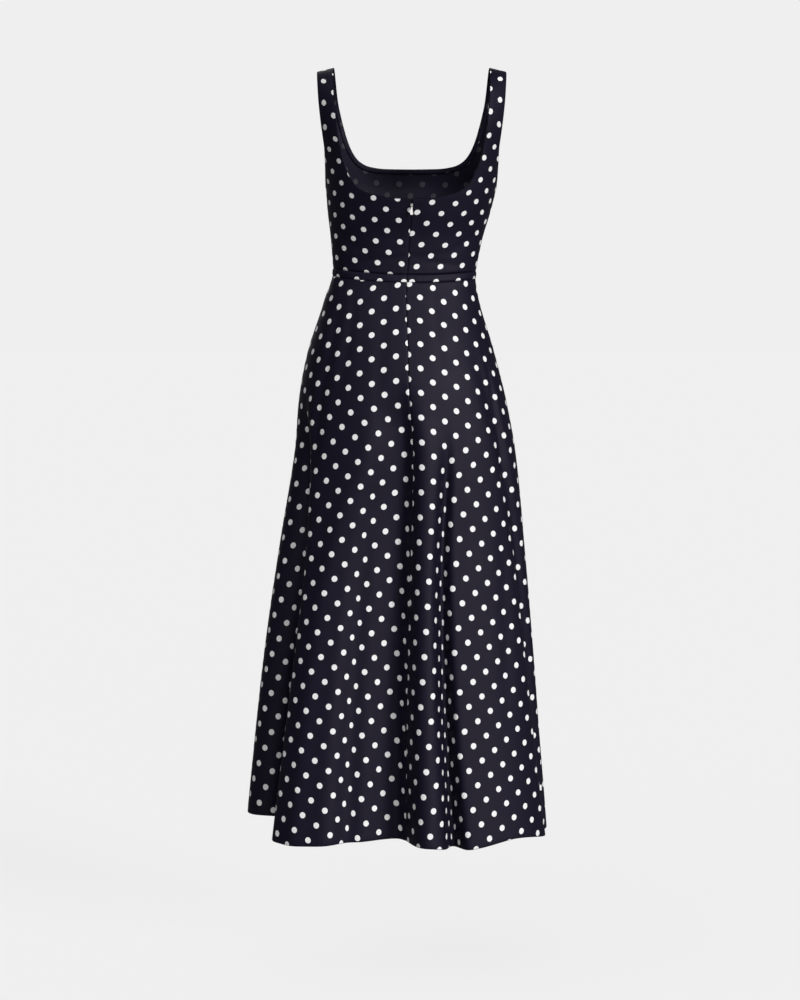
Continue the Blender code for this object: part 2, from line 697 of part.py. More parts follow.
# ---------------------------------------------------------------- the dress
def main():
    for old in list(bpy.data.objects):
        bpy.data.objects.remove(old)
    home = bpy.data.collections.new("a_line_dress")
    bpy.context.scene.collection.children.link(home)
    cloth = material("navy_dotted_cloth", NAVY, 0.75)
    add_bodice(home, cloth)
    add_waistband(home, cloth)
    add_skirt(home, cloth)
    add_zip_tape(home, material("zip_tape_cloth", TAPE_NAVY, 0.8))
    metal = material("zip_nickel", NICKEL, 0.3, metallic=1.0)
    pivot = add_zip_slider(home, metal)
    add_zip_pull(home, metal, pivot)


main()
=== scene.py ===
import math
from collections import namedtuple

import bmesh
import bpy
import numpy as np
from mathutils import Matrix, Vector


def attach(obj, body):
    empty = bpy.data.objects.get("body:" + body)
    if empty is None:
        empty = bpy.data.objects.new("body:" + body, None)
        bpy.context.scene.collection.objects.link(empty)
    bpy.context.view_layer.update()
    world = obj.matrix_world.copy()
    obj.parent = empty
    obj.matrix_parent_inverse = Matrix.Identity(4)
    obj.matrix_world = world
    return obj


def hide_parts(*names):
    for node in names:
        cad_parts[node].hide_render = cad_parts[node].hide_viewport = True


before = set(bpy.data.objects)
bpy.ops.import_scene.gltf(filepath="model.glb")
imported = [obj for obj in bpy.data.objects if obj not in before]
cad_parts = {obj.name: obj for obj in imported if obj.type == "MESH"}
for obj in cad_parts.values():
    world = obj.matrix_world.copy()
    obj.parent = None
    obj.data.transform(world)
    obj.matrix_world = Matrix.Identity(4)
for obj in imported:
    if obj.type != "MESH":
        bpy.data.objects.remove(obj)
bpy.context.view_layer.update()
bpy.ops.object.select_all(action="DESELECT")

# ================================================================ skirt
# Three flared panels of firm matt crepe, one front and two backs, cut as sectors and sewn at the sides and
# centre back. They hang from the waistband in deep soft folds, with a 30 mm hem turned up and caught inside.
# Metres, +Z up, +X the wearer's left, +Y the back. Angles are degrees from centre back to the left.
SIDE = 90.0
SEAM_GAP = 0.0003
BAND_TOP_Z = -0.3280
BAND_HEIGHT = 0.0124
BAND_BACK_DIP = 0.0085
BAND_DIP_POWER = 1.5
BAND_TILT = 0.0023
ROLL_Z = -0.100
BACK_ROLL, FRONT_ROLL = 2.0, 1.3
SHOULDER_SLOPE = 0.235
STRAP_INNER_X = 0.128
HEM_Z = -1.264
MID_Z = -0.850
SQUARENESS = 2.1

Section = namedtuple("Section", "z centre_x half_width back front")
SECTIONS = (
    Section(-1.290, 0.0240, 0.2580, 0.1400, 0.1720),
    Section(-1.120, 0.0235, 0.2405, 0.1330, 0.1620),
    Section(-0.960, 0.0210, 0.2245, 0.1260, 0.1500),
    Section(-0.790, 0.0160, 0.2045, 0.1200, 0.1380),
    Section(-0.630, 0.0110, 0.1835, 0.1170, 0.1260),
    Section(-0.545, 0.0150, 0.1720, 0.1130, 0.1190),
    Section(-0.460, 0.0175, 0.1530, 0.1005, 0.1120),
    Section(-0.380, 0.0165, 0.1280, 0.0760, 0.1030),
    Section(-0.335, 0.0120, 0.1180, 0.0640, 0.0980),
    Section(-0.282, 0.0085, 0.1240, 0.0720, 0.1080),
    Section(-0.232, 0.0040, 0.1340, 0.0890, 0.1210),
    Section(-0.195, 0.0010, 0.1400, 0.1000, 0.1240),
    Section(-0.150, 0.0000, 0.1480, 0.1055, 0.1120),
    Section(-0.100, 0.0000, 0.1620, 0.1065, 0.0960),
    Section(-0.050, 0.0000, 0.1720, 0.1065, 0.0960),
    Section(+0.000, 0.0000, 0.1820, 0.1065, 0.0960),
)
SeamPlace = namedtuple("SeamPlace", "z angle")
CENTRE_BACK = (
    SeamPlace(-1.270, -0.6),
    SeamPlace(-0.850, -2.0),
    SeamPlace(-0.560, -2.8),
    SeamPlace(-0.460, -3.8),
    SeamPlace(-0.335, -2.2),
    SeamPlace(-0.200, -1.0),
)
HemPlace = namedtuple("HemPlace", "angle z")
HEM = (
    HemPlace(-180.0, -1.236),
    HemPlace(-140.0, -1.240),
    HemPlace(-105.0, -1.258),
    HemPlace(-80.0, -1.266),
    HemPlace(-50.0, -1.258),
    HemPlace(-24.0, -1.270),
    HemPlace(-10.0, -1.261),
    HemPlace(4.0, -1.260),
    HemPlace(40.0, -1.266),
    HemPlace(56.0, -1.263),
    HemPlace(65.0, -1.237),
    HemPlace(78.0, -1.233),
    HemPlace(110.0, -1.232),
    HemPlace(180.0, -1.236),
)
# valleys between the folds, their widths in degrees towards the wearer's left and right
Fold = namedtuple("Fold", "top_z top_at mid_at hem_at depth left right open lean")
FOLDS = (
    Fold(-0.470, 1.5, 2.4, 2.2, 0.056, 8.0, 3.8, 0.002, -0.010),        # centre back, under the right lobe
    Fold(-0.560, -22.0, -18.2, -21.6, 0.034, 2.3, 1.7, 0.001, 0.000),    # right of centre back
    Fold(-0.420, -48.0, -73.0, -86.0, 0.016, 4.5, 4.0, 0.000, 0.000),    # towards the right side
    Fold(-0.600, 11.0, 18.0, 18.8, 0.021, 3.8, 4.2, 0.000, 0.000),       # shallow, left of centre back
    Fold(-0.500, 71.0, 55.5, 61.0, 0.058, 10.0, 3.4, 0.002, 0.011),      # left back, behind the main lobe
    Fold(-0.500, 112.0, 114.0, 116.0, 0.034, 4.0, 3.4, 0.001, -0.004),   # front
    Fold(-0.560, 142.0, 143.0, 145.0, 0.038, 3.4, 3.6, 0.001, 0.003),
    Fold(-0.600, 176.0, 175.0, 173.0, 0.028, 4.0, 4.0, 0.000, 0.000),
    Fold(-0.540, 212.0, 213.0, 214.0, 0.038, 3.4, 3.4, 0.001, 0.000),
    Fold(-0.500, 248.0, 252.0, 254.0, 0.034, 4.0, 3.5, 0.001, 0.004),
)
Lobe = namedtuple("Lobe", "top_z top_at mid_at hem_at height width")
LOBES = (
    Lobe(-0.480, -9.0, -10.0, -10.5, 0.019, 5.0),
    Lobe(-0.500, 8.0, 36.0, 41.0, 0.006, 4.0),
)
FOLD_EASE = 0.12
FOLD_GROWTH = 0.6
FLOOR_WIDTH = 1.3


def column(table, name):
    return np.array([getattr(row, name) for row in table], float)


def smooth_read(at, knots, values):
    """Values on a monotone cubic through the rows, held level beyond the first and last."""
    order = np.argsort(knots)
    knots, values = knots[order], values[order]
    steps = np.diff(knots)
    rises = np.diff(values) / steps
    slopes = np.concatenate([rises[:1], np.zeros(len(values) - 2), rises[-1:]])
    for i in range(1, len(values) - 1):
        if rises[i - 1] * rises[i] > 0:
            before = 2 * steps[i] + steps[i - 1]
            after = steps[i] + 2 * steps[i - 1]
            slopes[i] = (before + after) / (before / rises[i - 1] + after / rises[i])
    at = np.clip(at, knots[0], knots[-1])
    i = np.clip(np.searchsorted(knots, at, side="right") - 1, 0, len(knots) - 2)
    step = knots[i + 1] - knots[i]
    t = (at - knots[i]) / step
    return (
        (2 * t**3 - 3 * t**2 + 1) * values[i]
        + (t**3 - 2 * t**2 + t) * step * slopes[i]
        + (3 * t**2 - 2 * t**3) * values[i + 1]
        + (t**3 - t**2) * step * slopes[i + 1]
    )


def read(table, name, at, key="z"):
    return smooth_read(at, column(table, key), column(table, name))


def ease(t):
    t = np.clip(t, 0.0, 1.0)
    return t * t * (3 - 2 * t)


def form_point(angle, z):
    """Point of the smooth form under the folds."""
    turn = np.radians(angle)
    across, along = np.sin(turn), np.cos(turn)
    rise = np.clip((z - ROLL_Z) / -ROLL_Z, 0.0, 1.0)
    roll = np.where(along > 0, 1 - rise**BACK_ROLL, 1 - rise**FRONT_ROLL)
    depth = np.where(along > 0, read(SECTIONS, "back", z), read(SECTIONS, "front", z)) * np.sqrt(roll)
    power = 2 / SQUARENESS
    from_centre = read(SECTIONS, "half_width", z) * np.sign(across) * np.abs(across) ** power
    x = read(SECTIONS, "centre_x", z) + from_centre
    y = depth * np.sign(along) * np.abs(along) ** power
    drop = SHOULDER_SLOPE * (np.abs(from_centre) - STRAP_INNER_X) * rise**2
    return np.stack([x, y, z - drop], -1)


def out_and_along(angle, z):
    """Unit vectors square to the form and along its level section, towards the wearer's left."""
    step = 0.2
    run = form_point(angle + step, z) - form_point(angle - step, z)
    run[..., 2] = 0.0
    run /= np.linalg.norm(run, axis=-1, keepdims=True)
    return np.stack([-run[..., 1], run[..., 0], np.zeros_like(run[..., 0])], -1), run


def place_of(fold, z):
    knots = np.array([HEM_Z, MID_Z, fold.top_z])
    return smooth_read(z, knots, np.array([fold.hem_at, fold.mid_at, fold.top_at]))


def growth_of(fold, z):
    below = np.clip(fold.top_z - z, 0.0, None)
    return (below / (fold.top_z - HEM_Z)) ** FOLD_GROWTH * ease(below / FOLD_EASE)


def turn_between(angle, place):
    return (angle - place + 180.0) % 360.0 - 180.0


def cloth_point(angle, z):
    """Point of the cloth's outer face, with the skirt's folds."""
    point = form_point(angle, z)
    out, along = out_and_along(angle, z)
    inward = np.zeros_like(point[..., 0])
    sideways = np.zeros_like(inward)
    for fold in FOLDS:
        growth = growth_of(fold, z)
        turn = turn_between(angle, place_of(fold, z))
        share = turn / np.where(turn > 0, fold.left, fold.right)
        floor = turn / (FLOOR_WIDTH * min(fold.left, fold.right))
        inward += fold.depth * growth * np.exp(-share**2 / 2)
        sideways += growth * fold.lean * np.exp(-floor**2 / 2)
        sideways += growth * fold.open * share * np.exp((1 - share**2) / 2)
    for lobe in LOBES:
        share = turn_between(angle, place_of(lobe, z)) / lobe.width
        inward -= lobe.height * growth_of(lobe, z) * np.exp(-share**2 / 2)
    return point - out * inward[..., None] + along * sideways[..., None]


def centre_back(z):
    return read(CENTRE_BACK, "angle", z)


def left_back_edges(z):
    return centre_back(z), SIDE


def right_back_edges(z):
    return -SIDE, centre_back(z)


def front_edges(z):
    return SIDE, 360 - SIDE


def band_top(angle):
    turn = np.radians(angle)
    dip = BAND_BACK_DIP * np.clip(np.cos(turn), 0, 1) ** BAND_DIP_POWER
    return BAND_TOP_Z + BAND_TILT * np.sin(turn) - dip


def band_bottom(angle):
    return band_top(angle) - BAND_HEIGHT


def hem_z(angle):
    return read(HEM, "z", turn_between(angle, 0.0), key="angle")


# fine columns beside a seam, where the cloth rolls into it
SEAM_STEPS = np.array([0.0, 0.0005, 0.0011, 0.0018, 0.0028])
FINE_STEPS = 1441


def spaced(length, count):
    """Places along a row from seam to seam: fine ones at both ends, even ones between."""
    last = SEAM_STEPS[-1]
    even = np.linspace(last, length - last, count)
    return np.concatenate([SEAM_STEPS[:-1], even, length - SEAM_STEPS[-2::-1]])


def even_angles(start, end, height_at, count):
    angles = np.linspace(start, end, FINE_STEPS)
    points = cloth_point(angles, height_at(angles))
    run = np.concatenate([[0.0], np.cumsum(np.linalg.norm(np.diff(points, axis=0), axis=1))])
    return np.interp(spaced(run[-1], count), run, angles)


def running(points, axis):
    """Length of cloth from the grid's first row or column."""
    steps = np.linalg.norm(np.diff(points, axis=axis), axis=-1)
    start = np.zeros_like(np.take(steps, [0], axis=axis))
    return np.concatenate([start, np.cumsum(steps, axis=axis)], axis=axis)


def outward(points):
    """Unit normals of a grid whose rows run down and whose columns run to the wearer's left."""
    normal = np.cross(np.gradient(points, axis=1), np.gradient(points, axis=0))
    return normal / np.linalg.norm(normal, axis=-1, keepdims=True)


# seams: the cloth rolls in over the last 2.5 mm, and puckers a little beside it
ROLL_WIDTH, ROLL_DEPTH, WAIST_ROLL = 0.0026, 0.0012, 0.0008
PUCKER_REACH, PUCKER_DEPTH, PUCKER_START = 0.010, 0.00035, 0.002


def seam_roll(from_seam, depth=ROLL_DEPTH):
    return depth * np.clip(1 - from_seam / ROLL_WIDTH, 0, 1) ** 2


def puckers(from_seam, along, pitch):
    """Uneven short waves beside a seam."""
    wave = np.sin(2 * np.pi * along / pitch + 1.7 * np.sin(along * 31.0))
    beat = 0.55 + 0.45 * np.sin(along * 47.0 + 1.3)
    return PUCKER_DEPTH * wave * beat * np.exp(-from_seam / PUCKER_REACH) * ease(from_seam / PUCKER_START)


Crease = namedtuple("Crease", "across z lean length width depth")


def crease_depth(creases, across, z):
    """across is metres of cloth from the panel's seam or middle, lean is degrees from upright."""
    total = np.zeros_like(across)
    for crease in creases:
        turn = math.radians(crease.lean)
        right, up = across - crease.across, z - crease.z
        beside = right * math.cos(turn) - up * math.sin(turn)
        along = right * math.sin(turn) + up * math.cos(turn)
        total += crease.depth * np.exp(-((beside / crease.width) ** 2) - (2 * along / crease.length) ** 4)
    return total


# print: a square lattice of dots turned by 45 degrees, 39.5 mm from dot to dot across
DOT_PITCH = 0.0395
DOT_RADIUS = 0.0048
NAVY = (0.0034, 0.0028, 0.0110, 1.0)
WRONG_SIDE = (0.0045, 0.0038, 0.0110, 1.0)
DOT_WHITE = (0.86, 0.86, 0.86, 1.0)
# how far the noise pushes a dot's edge, and where its fade ends and starts beyond the radius
RAGGED_EDGE, DOT_FADE = 0.0005, (0.00040, 0.00010)


def fill_in(tree, made, inputs):
    """Sets a node's inputs to plain values, or links them to the outputs of other nodes."""
    for socket, value in inputs.items():
        if isinstance(value, bpy.types.NodeSocket):
            tree.links.new(value, made.inputs[socket])
        else:
            made.inputs[socket].default_value = value


def node(tree, kind, inputs=None, **settings):
    made = tree.nodes.new(kind)
    for name, value in settings.items():
        setattr(made, name, value)
    fill_in(tree, made, inputs or {})
    return made


def maths(tree, operation, *values):
    """A sum on numbers or sockets; gives the socket of its result."""
    return node(tree, "ShaderNodeMath", dict(enumerate(values)), operation=operation).outputs[0]


def vector_maths(tree, operation, *values, result="Vector"):
    return node(tree, "ShaderNodeVectorMath", dict(enumerate(values)), operation=operation).outputs[result]


def new_material(name):
    """A material with its node tree and its Principled shader."""
    made = bpy.data.materials.new(name)
    made.use_nodes = True
    return made, made.node_tree, made.node_tree.nodes["Principled BSDF"]


def cloth_weave_group():
    """Crepe surface: fine pebbled yarns over slow cloudiness. Puts out a height and two masks."""
    group = bpy.data.node_groups.new("crepe_weave", "ShaderNodeTree")
    group.interface.new_socket("Vector", in_out="INPUT", socket_type="NodeSocketVector")
    for name in ("Height", "Cloud", "Yarn"):
        group.interface.new_socket(name, in_out="OUTPUT", socket_type="NodeSocketFloat")
    place = node(group, "NodeGroupInput").outputs["Vector"]
    pebble = node(group, "ShaderNodeTexVoronoi", {"Vector": place, "Scale": 1500.0}, feature="SMOOTH_F1")
    slub = node(group, "ShaderNodeTexNoise", {"Vector": place, "Scale": 420.0, "Detail": 3.0})
    cloud = node(group, "ShaderNodeTexNoise", {"Vector": place, "Scale": 22.0, "Detail": 3.0})
    yarn = slub.outputs["Fac"]
    height = maths(group, "ADD", pebble.outputs["Distance"], yarn)
    masks = {"Height": height, "Cloud": cloud.outputs["Fac"], "Yarn": yarn}
    node(group, "NodeGroupOutput", masks)
    return group


weave = cloth_weave_group()


def add_weave(tree, vector, strength, depth):
    """The weave group and a bump that follows its height."""
    crepe = node(tree, "ShaderNodeGroup", node_tree=weave)
    tree.links.new(vector, crepe.inputs["Vector"])
    heights = {"Strength": strength, "Distance": depth, "Height": crepe.outputs["Height"]}
    return crepe, node(tree, "ShaderNodeBump", heights)


def mixed(tree, share, first, second):
    """Colour mix; first and second are colours or sockets."""
    return node(tree, "ShaderNodeMix", {"Factor": share, 6: first, 7: second}, data_type="RGBA").outputs[2]


def shade(colour, share):
    return tuple(c * share for c in colour[:3]) + (1.0,)


def dot_mask(tree, place, dot_share):
    """dot_share inside the dots and 0 between them, with slightly ragged edges."""
    ragged = node(tree, "ShaderNodeTexNoise", {"Vector": place, "Scale": 900.0})
    cell_size, half_cell = DOT_PITCH / math.sqrt(2), (0.5, 0.5, 0.0)
    to_cells = {
        "Vector": place,
        "Rotation": (0, 0, math.radians(45)),
        "Scale": (1 / cell_size, 1 / cell_size, 0.0),
    }
    turned = node(tree, "ShaderNodeMapping", to_cells).outputs["Vector"]
    cell = vector_maths(tree, "FRACTION", vector_maths(tree, "ADD", turned, half_cell))
    offset = vector_maths(tree, "SUBTRACT", cell, half_cell)
    metres = maths(tree, "MULTIPLY", vector_maths(tree, "LENGTH", offset, result="Value"), cell_size)
    limits = {
        "Value": maths(tree, "MULTIPLY_ADD", ragged.outputs["Fac"], RAGGED_EDGE, metres),
        "From Min": DOT_RADIUS + DOT_FADE[0],
        "From Max": DOT_RADIUS + DOT_FADE[1],
        "To Max": dot_share,
    }
    return node(tree, "ShaderNodeMapRange", limits, interpolation_type="SMOOTHSTEP").outputs["Result"]


def dotted_material(name, dot_share, ground):
    """Cloth with the printed dots, read from the flat cut's own coordinates in metres."""
    made, tree, shader = new_material(name)
    place = node(tree, "ShaderNodeUVMap", uv_map="cut").outputs["UV"]
    crepe, bump = add_weave(tree, place, 0.35, 0.00025)
    cloud = crepe.outputs["Cloud"]
    base = mixed(tree, cloud, shade(ground, 0.78), shade(ground, 1.25))
    dots = mixed(tree, crepe.outputs["Yarn"], shade(DOT_WHITE, 0.93), DOT_WHITE)
    rough = node(tree, "ShaderNodeMapRange", {"Value": cloud, "To Min": 0.56, "To Max": 0.66})
    fill_in(tree, shader, {
        "Base Color": mixed(tree, dot_mask(tree, place, dot_share), base, dots),
        "Normal": bump.outputs["Normal"],
        "Roughness": rough.outputs["Result"],
        "Specular IOR Level": 0.22,
        "Specular Tint": (0.92, 0.84, 1.0, 1.0),
    })
    return made


face_cloth = dotted_material("navy_crepe_dotted", 1.0, NAVY)
back_cloth = dotted_material("navy_crepe_wrong_side", 0.04, WRONG_SIDE)

# a piece's grid: points in space, places on the flat cut, and which of its points lie on a free edge
Patch = namedtuple("Patch", "points flat free")
PLY = 0.0006
TURN_RADIUS = 0.0008
# rows of the turned allowance, as shares of its width
ALLOWANCE_ROWS = (0.25, 0.6, 1.0)


def edge_directions(edges, flat_layer):
    """For each point of a free edge, the way out of the cloth in space and on the flat cut."""
    out, flat_out = {}, {}
    for edge in edges:
        a, b = edge.verts
        face = edge.link_faces[0]
        away = (b.co - a.co).normalized().cross(face.normal)
        middle = (a.co + b.co) / 2
        if away.dot(face.calc_center_median() - middle) > 0:
            away = -away
        flat_a, flat_b = a[flat_layer], b[flat_layer]
        run = (flat_b - flat_a).normalized()
        flat_away = Vector((run.y, -run.x, 0))
        inside = sum((v[flat_layer] for v in face.verts), Vector()) / len(face.verts)
        if flat_away.dot(inside - (flat_a + flat_b) / 2) > 0:
            flat_away = -flat_away
        for vert in (a, b):
            out[vert] = out.get(vert, Vector()) + away
            flat_out[vert] = flat_out.get(vert, Vector()) + flat_away
    return {v: d.normalized() for v, d in out.items()}, {v: d.normalized() for v, d in flat_out.items()}


def turn_under(mesh, flat_layer, free_layer, allowance):
    """Folds each free edge to the inside: a half round, then the allowance lying against the cloth."""
    mesh.normal_update()
    edges = [e for e in mesh.edges if e.is_boundary and all(v[free_layer] > 0.5 for v in e.verts)]
    out, flat_out = edge_directions(edges, flat_layer)
    path = [(TURN_RADIUS * math.sin(t), TURN_RADIUS * (1 - math.cos(t)), TURN_RADIUS * t)
            for t in (math.pi / 4, math.pi / 2, 3 * math.pi / 4, math.pi)]
    bend = TURN_RADIUS * math.pi
    path += [(-run, 2 * TURN_RADIUS, bend + run) for run in (allowance * share for share in ALLOWANCE_ROWS)]
    previous = {vert: vert for vert in out}
    for beyond, inside, run in path:
        ring = {}
        for vert, away in out.items():
            new = mesh.verts.new(vert.co + away * beyond - vert.normal * inside)
            new[flat_layer] = vert[flat_layer] + flat_out[vert] * run
            ring[vert] = new
        for edge in edges:
            loop = edge.link_loops[0]
            a, b = loop.vert, loop.link_loop_next.vert
            mesh.faces.new((previous[b], previous[a], ring[a], ring[b]))
        previous = ring


def linked(name, data):
    """A new object in the scene."""
    made = bpy.data.objects.new(name, data)
    bpy.context.scene.collection.objects.link(made)
    return made


def cloth_piece(name, patches, node_name, allowance,
                finishes=(face_cloth, back_cloth), ply=PLY):
    """One cut piece: patches welded, free edges turned under. cut is its flat width and length."""
    mesh = bmesh.new()
    flat_layer = mesh.verts.layers.float_vector.new("flat")
    free_layer = mesh.verts.layers.float.new("free")
    for patch in patches:
        rows, columns = patch.points.shape[:2]
        corners = []
        for r in range(rows):
            line = []
            for c in range(columns):
                vert = mesh.verts.new(patch.points[r, c])
                vert[flat_layer] = (*patch.flat[r, c], 0.0)
                vert[free_layer] = float(patch.free[r, c])
                line.append(vert)
            corners.append(line)
        for r in range(rows - 1):
            for c in range(columns - 1):
                mesh.faces.new((corners[r][c], corners[r][c + 1], corners[r + 1][c + 1], corners[r + 1][c]))
    bmesh.ops.remove_doubles(mesh, verts=mesh.verts, dist=1e-6)
    turn_under(mesh, flat_layer, free_layer, allowance)
    uv_layer = mesh.loops.layers.uv.new("cut")
    for face in mesh.faces:
        for loop in face.loops:
            loop[uv_layer].uv = loop.vert[flat_layer].xy
    data = bpy.data.meshes.new(name)
    mesh.to_mesh(data)
    mesh.free()
    data.shade_smooth()
    piece = linked(name, data)
    for finish in finishes:
        data.materials.append(finish)
    wall = piece.modifiers.new("Ply", "SOLIDIFY")
    wall.thickness = ply
    wall.offset = -1.0
    wall.material_offset = 1
    wall.material_offset_rim = 0
    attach(piece, "dress")
    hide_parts(node_name)
    return piece


SKIRT_ROWS, BACK_COLUMNS, FRONT_COLUMNS = 200, 90, 170
ROW_CROWDING = 1.2
SKIRT_LENGTH = 0.920
HEM_ALLOWANCE = 0.030
# share of its step by which the last column at a seam is drawn back, so that two panels don't touch
SEAM_DRAW_BACK = 0.3
# each panel's flat cut: its width at waist and hem, the turn of its straight grain from the centre-back seam
# or the middle, where the print falls, and the print's drift off the grain: to the side (bow, sway), down
# (drop) and down with each metre across (tilt, and its growth downwards). The two backs' rows and the
# take-ups below are numbers fitted to where the dots should fall, not measures that a maker would choose.
PanelCut = namedtuple("PanelCut", "waist hem grain print_across print_down bow sway drop tilt tilt_1 tilt_2")
LEFT_CUT = PanelCut(0.1377, 0.4413, 3.92, -0.1239, -0.4962,
                    0.1670, -0.0215, -0.0247, -0.1637, 0.0545, -0.1094)
RIGHT_CUT = PanelCut(0.1598, 0.4082, 2.88, 0.2115, -0.4953,
                     0.1416, -0.1073, -0.0221, 0.0892, -0.0938, 0.0331)
FRONT_CUT = PanelCut(0.343, 0.804, 0.0, 0.0, 0.0, 0.0, 0.0, 0.0, 0.0, 0.0, 0.0)
# cloth that a fold takes up beyond what its walls measure, for folds by their row in FOLDS, spread over this
# share of the fold's narrower side
TakeUp = namedtuple("TakeUp", "fold cloth")
TAKE_UP_SPREAD = 0.3
LEFT_TAKE_UPS = (TakeUp(3, 0.0125),)
RIGHT_TAKE_UPS = (TakeUp(1, 0.0310),)
# soft drag lines below the waist, from the centre-back seam or the front's middle
SKIRT_CREASES = (
    Crease(0.043, -0.455, -5, 0.20, 0.010, 0.0013),
    Crease(0.098, -0.440, -11, 0.15, 0.009, 0.0016),
    Crease(0.152, -0.530, -15, 0.28, 0.010, 0.0024),
    Crease(0.120, -0.800, -8, 0.40, 0.014, 0.0014),
    Crease(-0.050, -0.430, 4, 0.14, 0.008, 0.0010),
    Crease(-0.092, -0.660, 7, 0.30, 0.012, 0.0013),
    Crease(-0.165, -0.585, 12, 0.26, 0.006, 0.0022),
    Crease(-0.210, -0.900, 9, 0.36, 0.013, 0.0016),
)
FRONT_SKIRT_CREASES = (
    Crease(0.060, -0.440, -4, 0.18, 0.010, 0.0014),
    Crease(-0.095, -0.480, 7, 0.22, 0.009, 0.0016),
    Crease(0.150, -0.520, -10, 0.24, 0.010, 0.0020),
    Crease(-0.160, -0.560, 11, 0.26, 0.009, 0.0020),
    Crease(-0.020, -0.600, 1, 0.30, 0.014, 0.0014),
    Crease(0.105, -0.820, -6, 0.40, 0.014, 0.0014),
)


def sector_places(across, down, cut):
    """Places on a flat sector for cloth lengths across it and down it."""
    turn = (cut.hem - cut.waist) / SKIRT_LENGTH
    radius = cut.waist / turn + down
    angle = across / radius - math.radians(cut.grain)
    share = down / SKIRT_LENGTH
    x = radius * np.sin(angle) + cut.print_across + cut.bow * share**2 + cut.sway * share**3
    y = radius * np.cos(angle) - cut.waist / turn + cut.print_down + cut.drop * share**2
    tilt = cut.tilt + cut.tilt_1 * share + cut.tilt_2 * share**2
    return np.stack([x, y + tilt * across], -1)


def taken_up(take_ups, angle, z, zero):
    """Extra cloth between the panel's zero edge and each place."""
    total = np.zeros_like(z)
    for take_up in take_ups:
        fold = FOLDS[take_up.fold]
        turn = turn_between(angle, place_of(fold, z)) / (TAKE_UP_SPREAD * min(fold.left, fold.right))
        total += take_up.cloth * growth_of(fold, z) * (1 / (1 + np.exp(-turn)) - zero)
    return total


def skirt_patch(edges, columns, cut, creases, take_ups, zero):
    """zero is the share of the row, 0 to 1, from which lengths across are measured."""
    rows, turns = [], []
    for down in np.linspace(0.0, 1.0, SKIRT_ROWS + 1) ** ROW_CROWDING:
        def height(angles, down=down):
            top = band_bottom(angles)
            return top + (hem_z(angles) - top) * down
        angles = even_angles(*edges(height(0.0)), height, columns)
        rows.append(cloth_point(angles, height(angles)))
        turns.append(angles)
    points = np.array(rows)
    run = running(points, 1)
    whole = run[:, -1:]
    down = running(points, 0)
    inward = seam_roll(run) + seam_roll(whole - run) + seam_roll(down, WAIST_ROLL)
    inward += puckers(run, down, 0.017) + puckers(whole - run, down, 0.019) + puckers(down, run, 0.015)
    across = run - whole * zero
    inward += crease_depth(creases, across, points[..., 2])
    across = across + taken_up(take_ups, np.array(turns), points[..., 2], zero)
    points -= outward(points) * inward[..., None]
    points[:, 0] += (points[:, 1] - points[:, 0]) * SEAM_DRAW_BACK
    points[:, -1] += (points[:, -2] - points[:, -1]) * SEAM_DRAW_BACK
    free = np.zeros(points.shape[:2])
    free[-1] = 1.0
    return Patch(points, sector_places(across, down, cut), free)


def add_skirt_panel(name, edges, columns, cut, creases, take_ups, zero, node_name):
    patch = skirt_patch(edges, columns, cut, creases, take_ups, zero)
    return cloth_piece(name, [patch], node_name, HEM_ALLOWANCE)


add_skirt_panel("skirt_back_left_panel", left_back_edges, BACK_COLUMNS, LEFT_CUT,
                SKIRT_CREASES, LEFT_TAKE_UPS, 0.0, "skirt_back_left")
add_skirt_panel("skirt_back_right_panel", right_back_edges, BACK_COLUMNS, RIGHT_CUT,
                SKIRT_CREASES, RIGHT_TAKE_UPS, 1.0, "skirt_back_right")
add_skirt_panel("skirt_front_panel", front_edges, FRONT_COLUMNS, FRONT_CUT,
                FRONT_SKIRT_CREASES, (), 0.5, "skirt_front")

# ================================================================ waistband
# A narrow inset band in three strips, let in between bodice and skirt and sewn to both. It stands a little
# proud, with the seams rolled in above and below it.
BAND_COLUMNS, BAND_ROWS = 60, 14
BAND_PROUD = 0.0008
BAND_PUCKER = 0.6
BAND_CREASES = (
    Crease(-0.028, -0.3415, 88, 0.045, 0.0014, 0.0005),
    Crease(-0.075, -0.3390, 94, 0.060, 0.0015, 0.0006),
    Crease(-0.110, -0.3375, 85, 0.040, 0.0013, 0.0004),
    Crease(0.060, -0.3400, 87, 0.050, 0.0014, 0.0004),
)
# where the print falls, from the centre-back seam or the middle and from the top edge
BAND_PRINT = {"left": (-0.0045, -0.0124), "right": (0.0087, -0.0124), "front": (0.0115, -0.0010)}


def band_patch(edges, columns, zero, shift):
    rows = []
    for down in np.linspace(0.0, 1.0, BAND_ROWS + 1):
        def height(angles, down=down):
            return band_top(angles) - BAND_HEIGHT * down
        angles = even_angles(*edges(BAND_TOP_Z), height, columns)
        out, _ = out_and_along(angles, height(angles))
        proud = BAND_PROUD * math.sin(math.pi * down)
        rows.append(cloth_point(angles, height(angles)) + out * proud)
    points = np.array(rows)
    run, down = running(points, 1), running(points, 0)
    across = run - run[:, -1:] * zero
    inward = seam_roll(run) + seam_roll(run[:, -1:] - run)
    inward += seam_roll(down, WAIST_ROLL) + seam_roll(down[-1:] - down, WAIST_ROLL)
    inward += BAND_PUCKER * (puckers(down, run, 0.013) + puckers(down[-1:] - down, run, 0.016))
    inward += crease_depth(BAND_CREASES, across, points[..., 2])
    points -= outward(points) * inward[..., None]
    return Patch(points, np.stack([across, down], -1) + np.array(shift), np.zeros(points.shape[:2]))


def add_band(name, edges, columns, zero, shift, node_name):
    patch = band_patch(edges, columns, zero, shift)
    cloth_piece(name, [patch], node_name, 0.0)


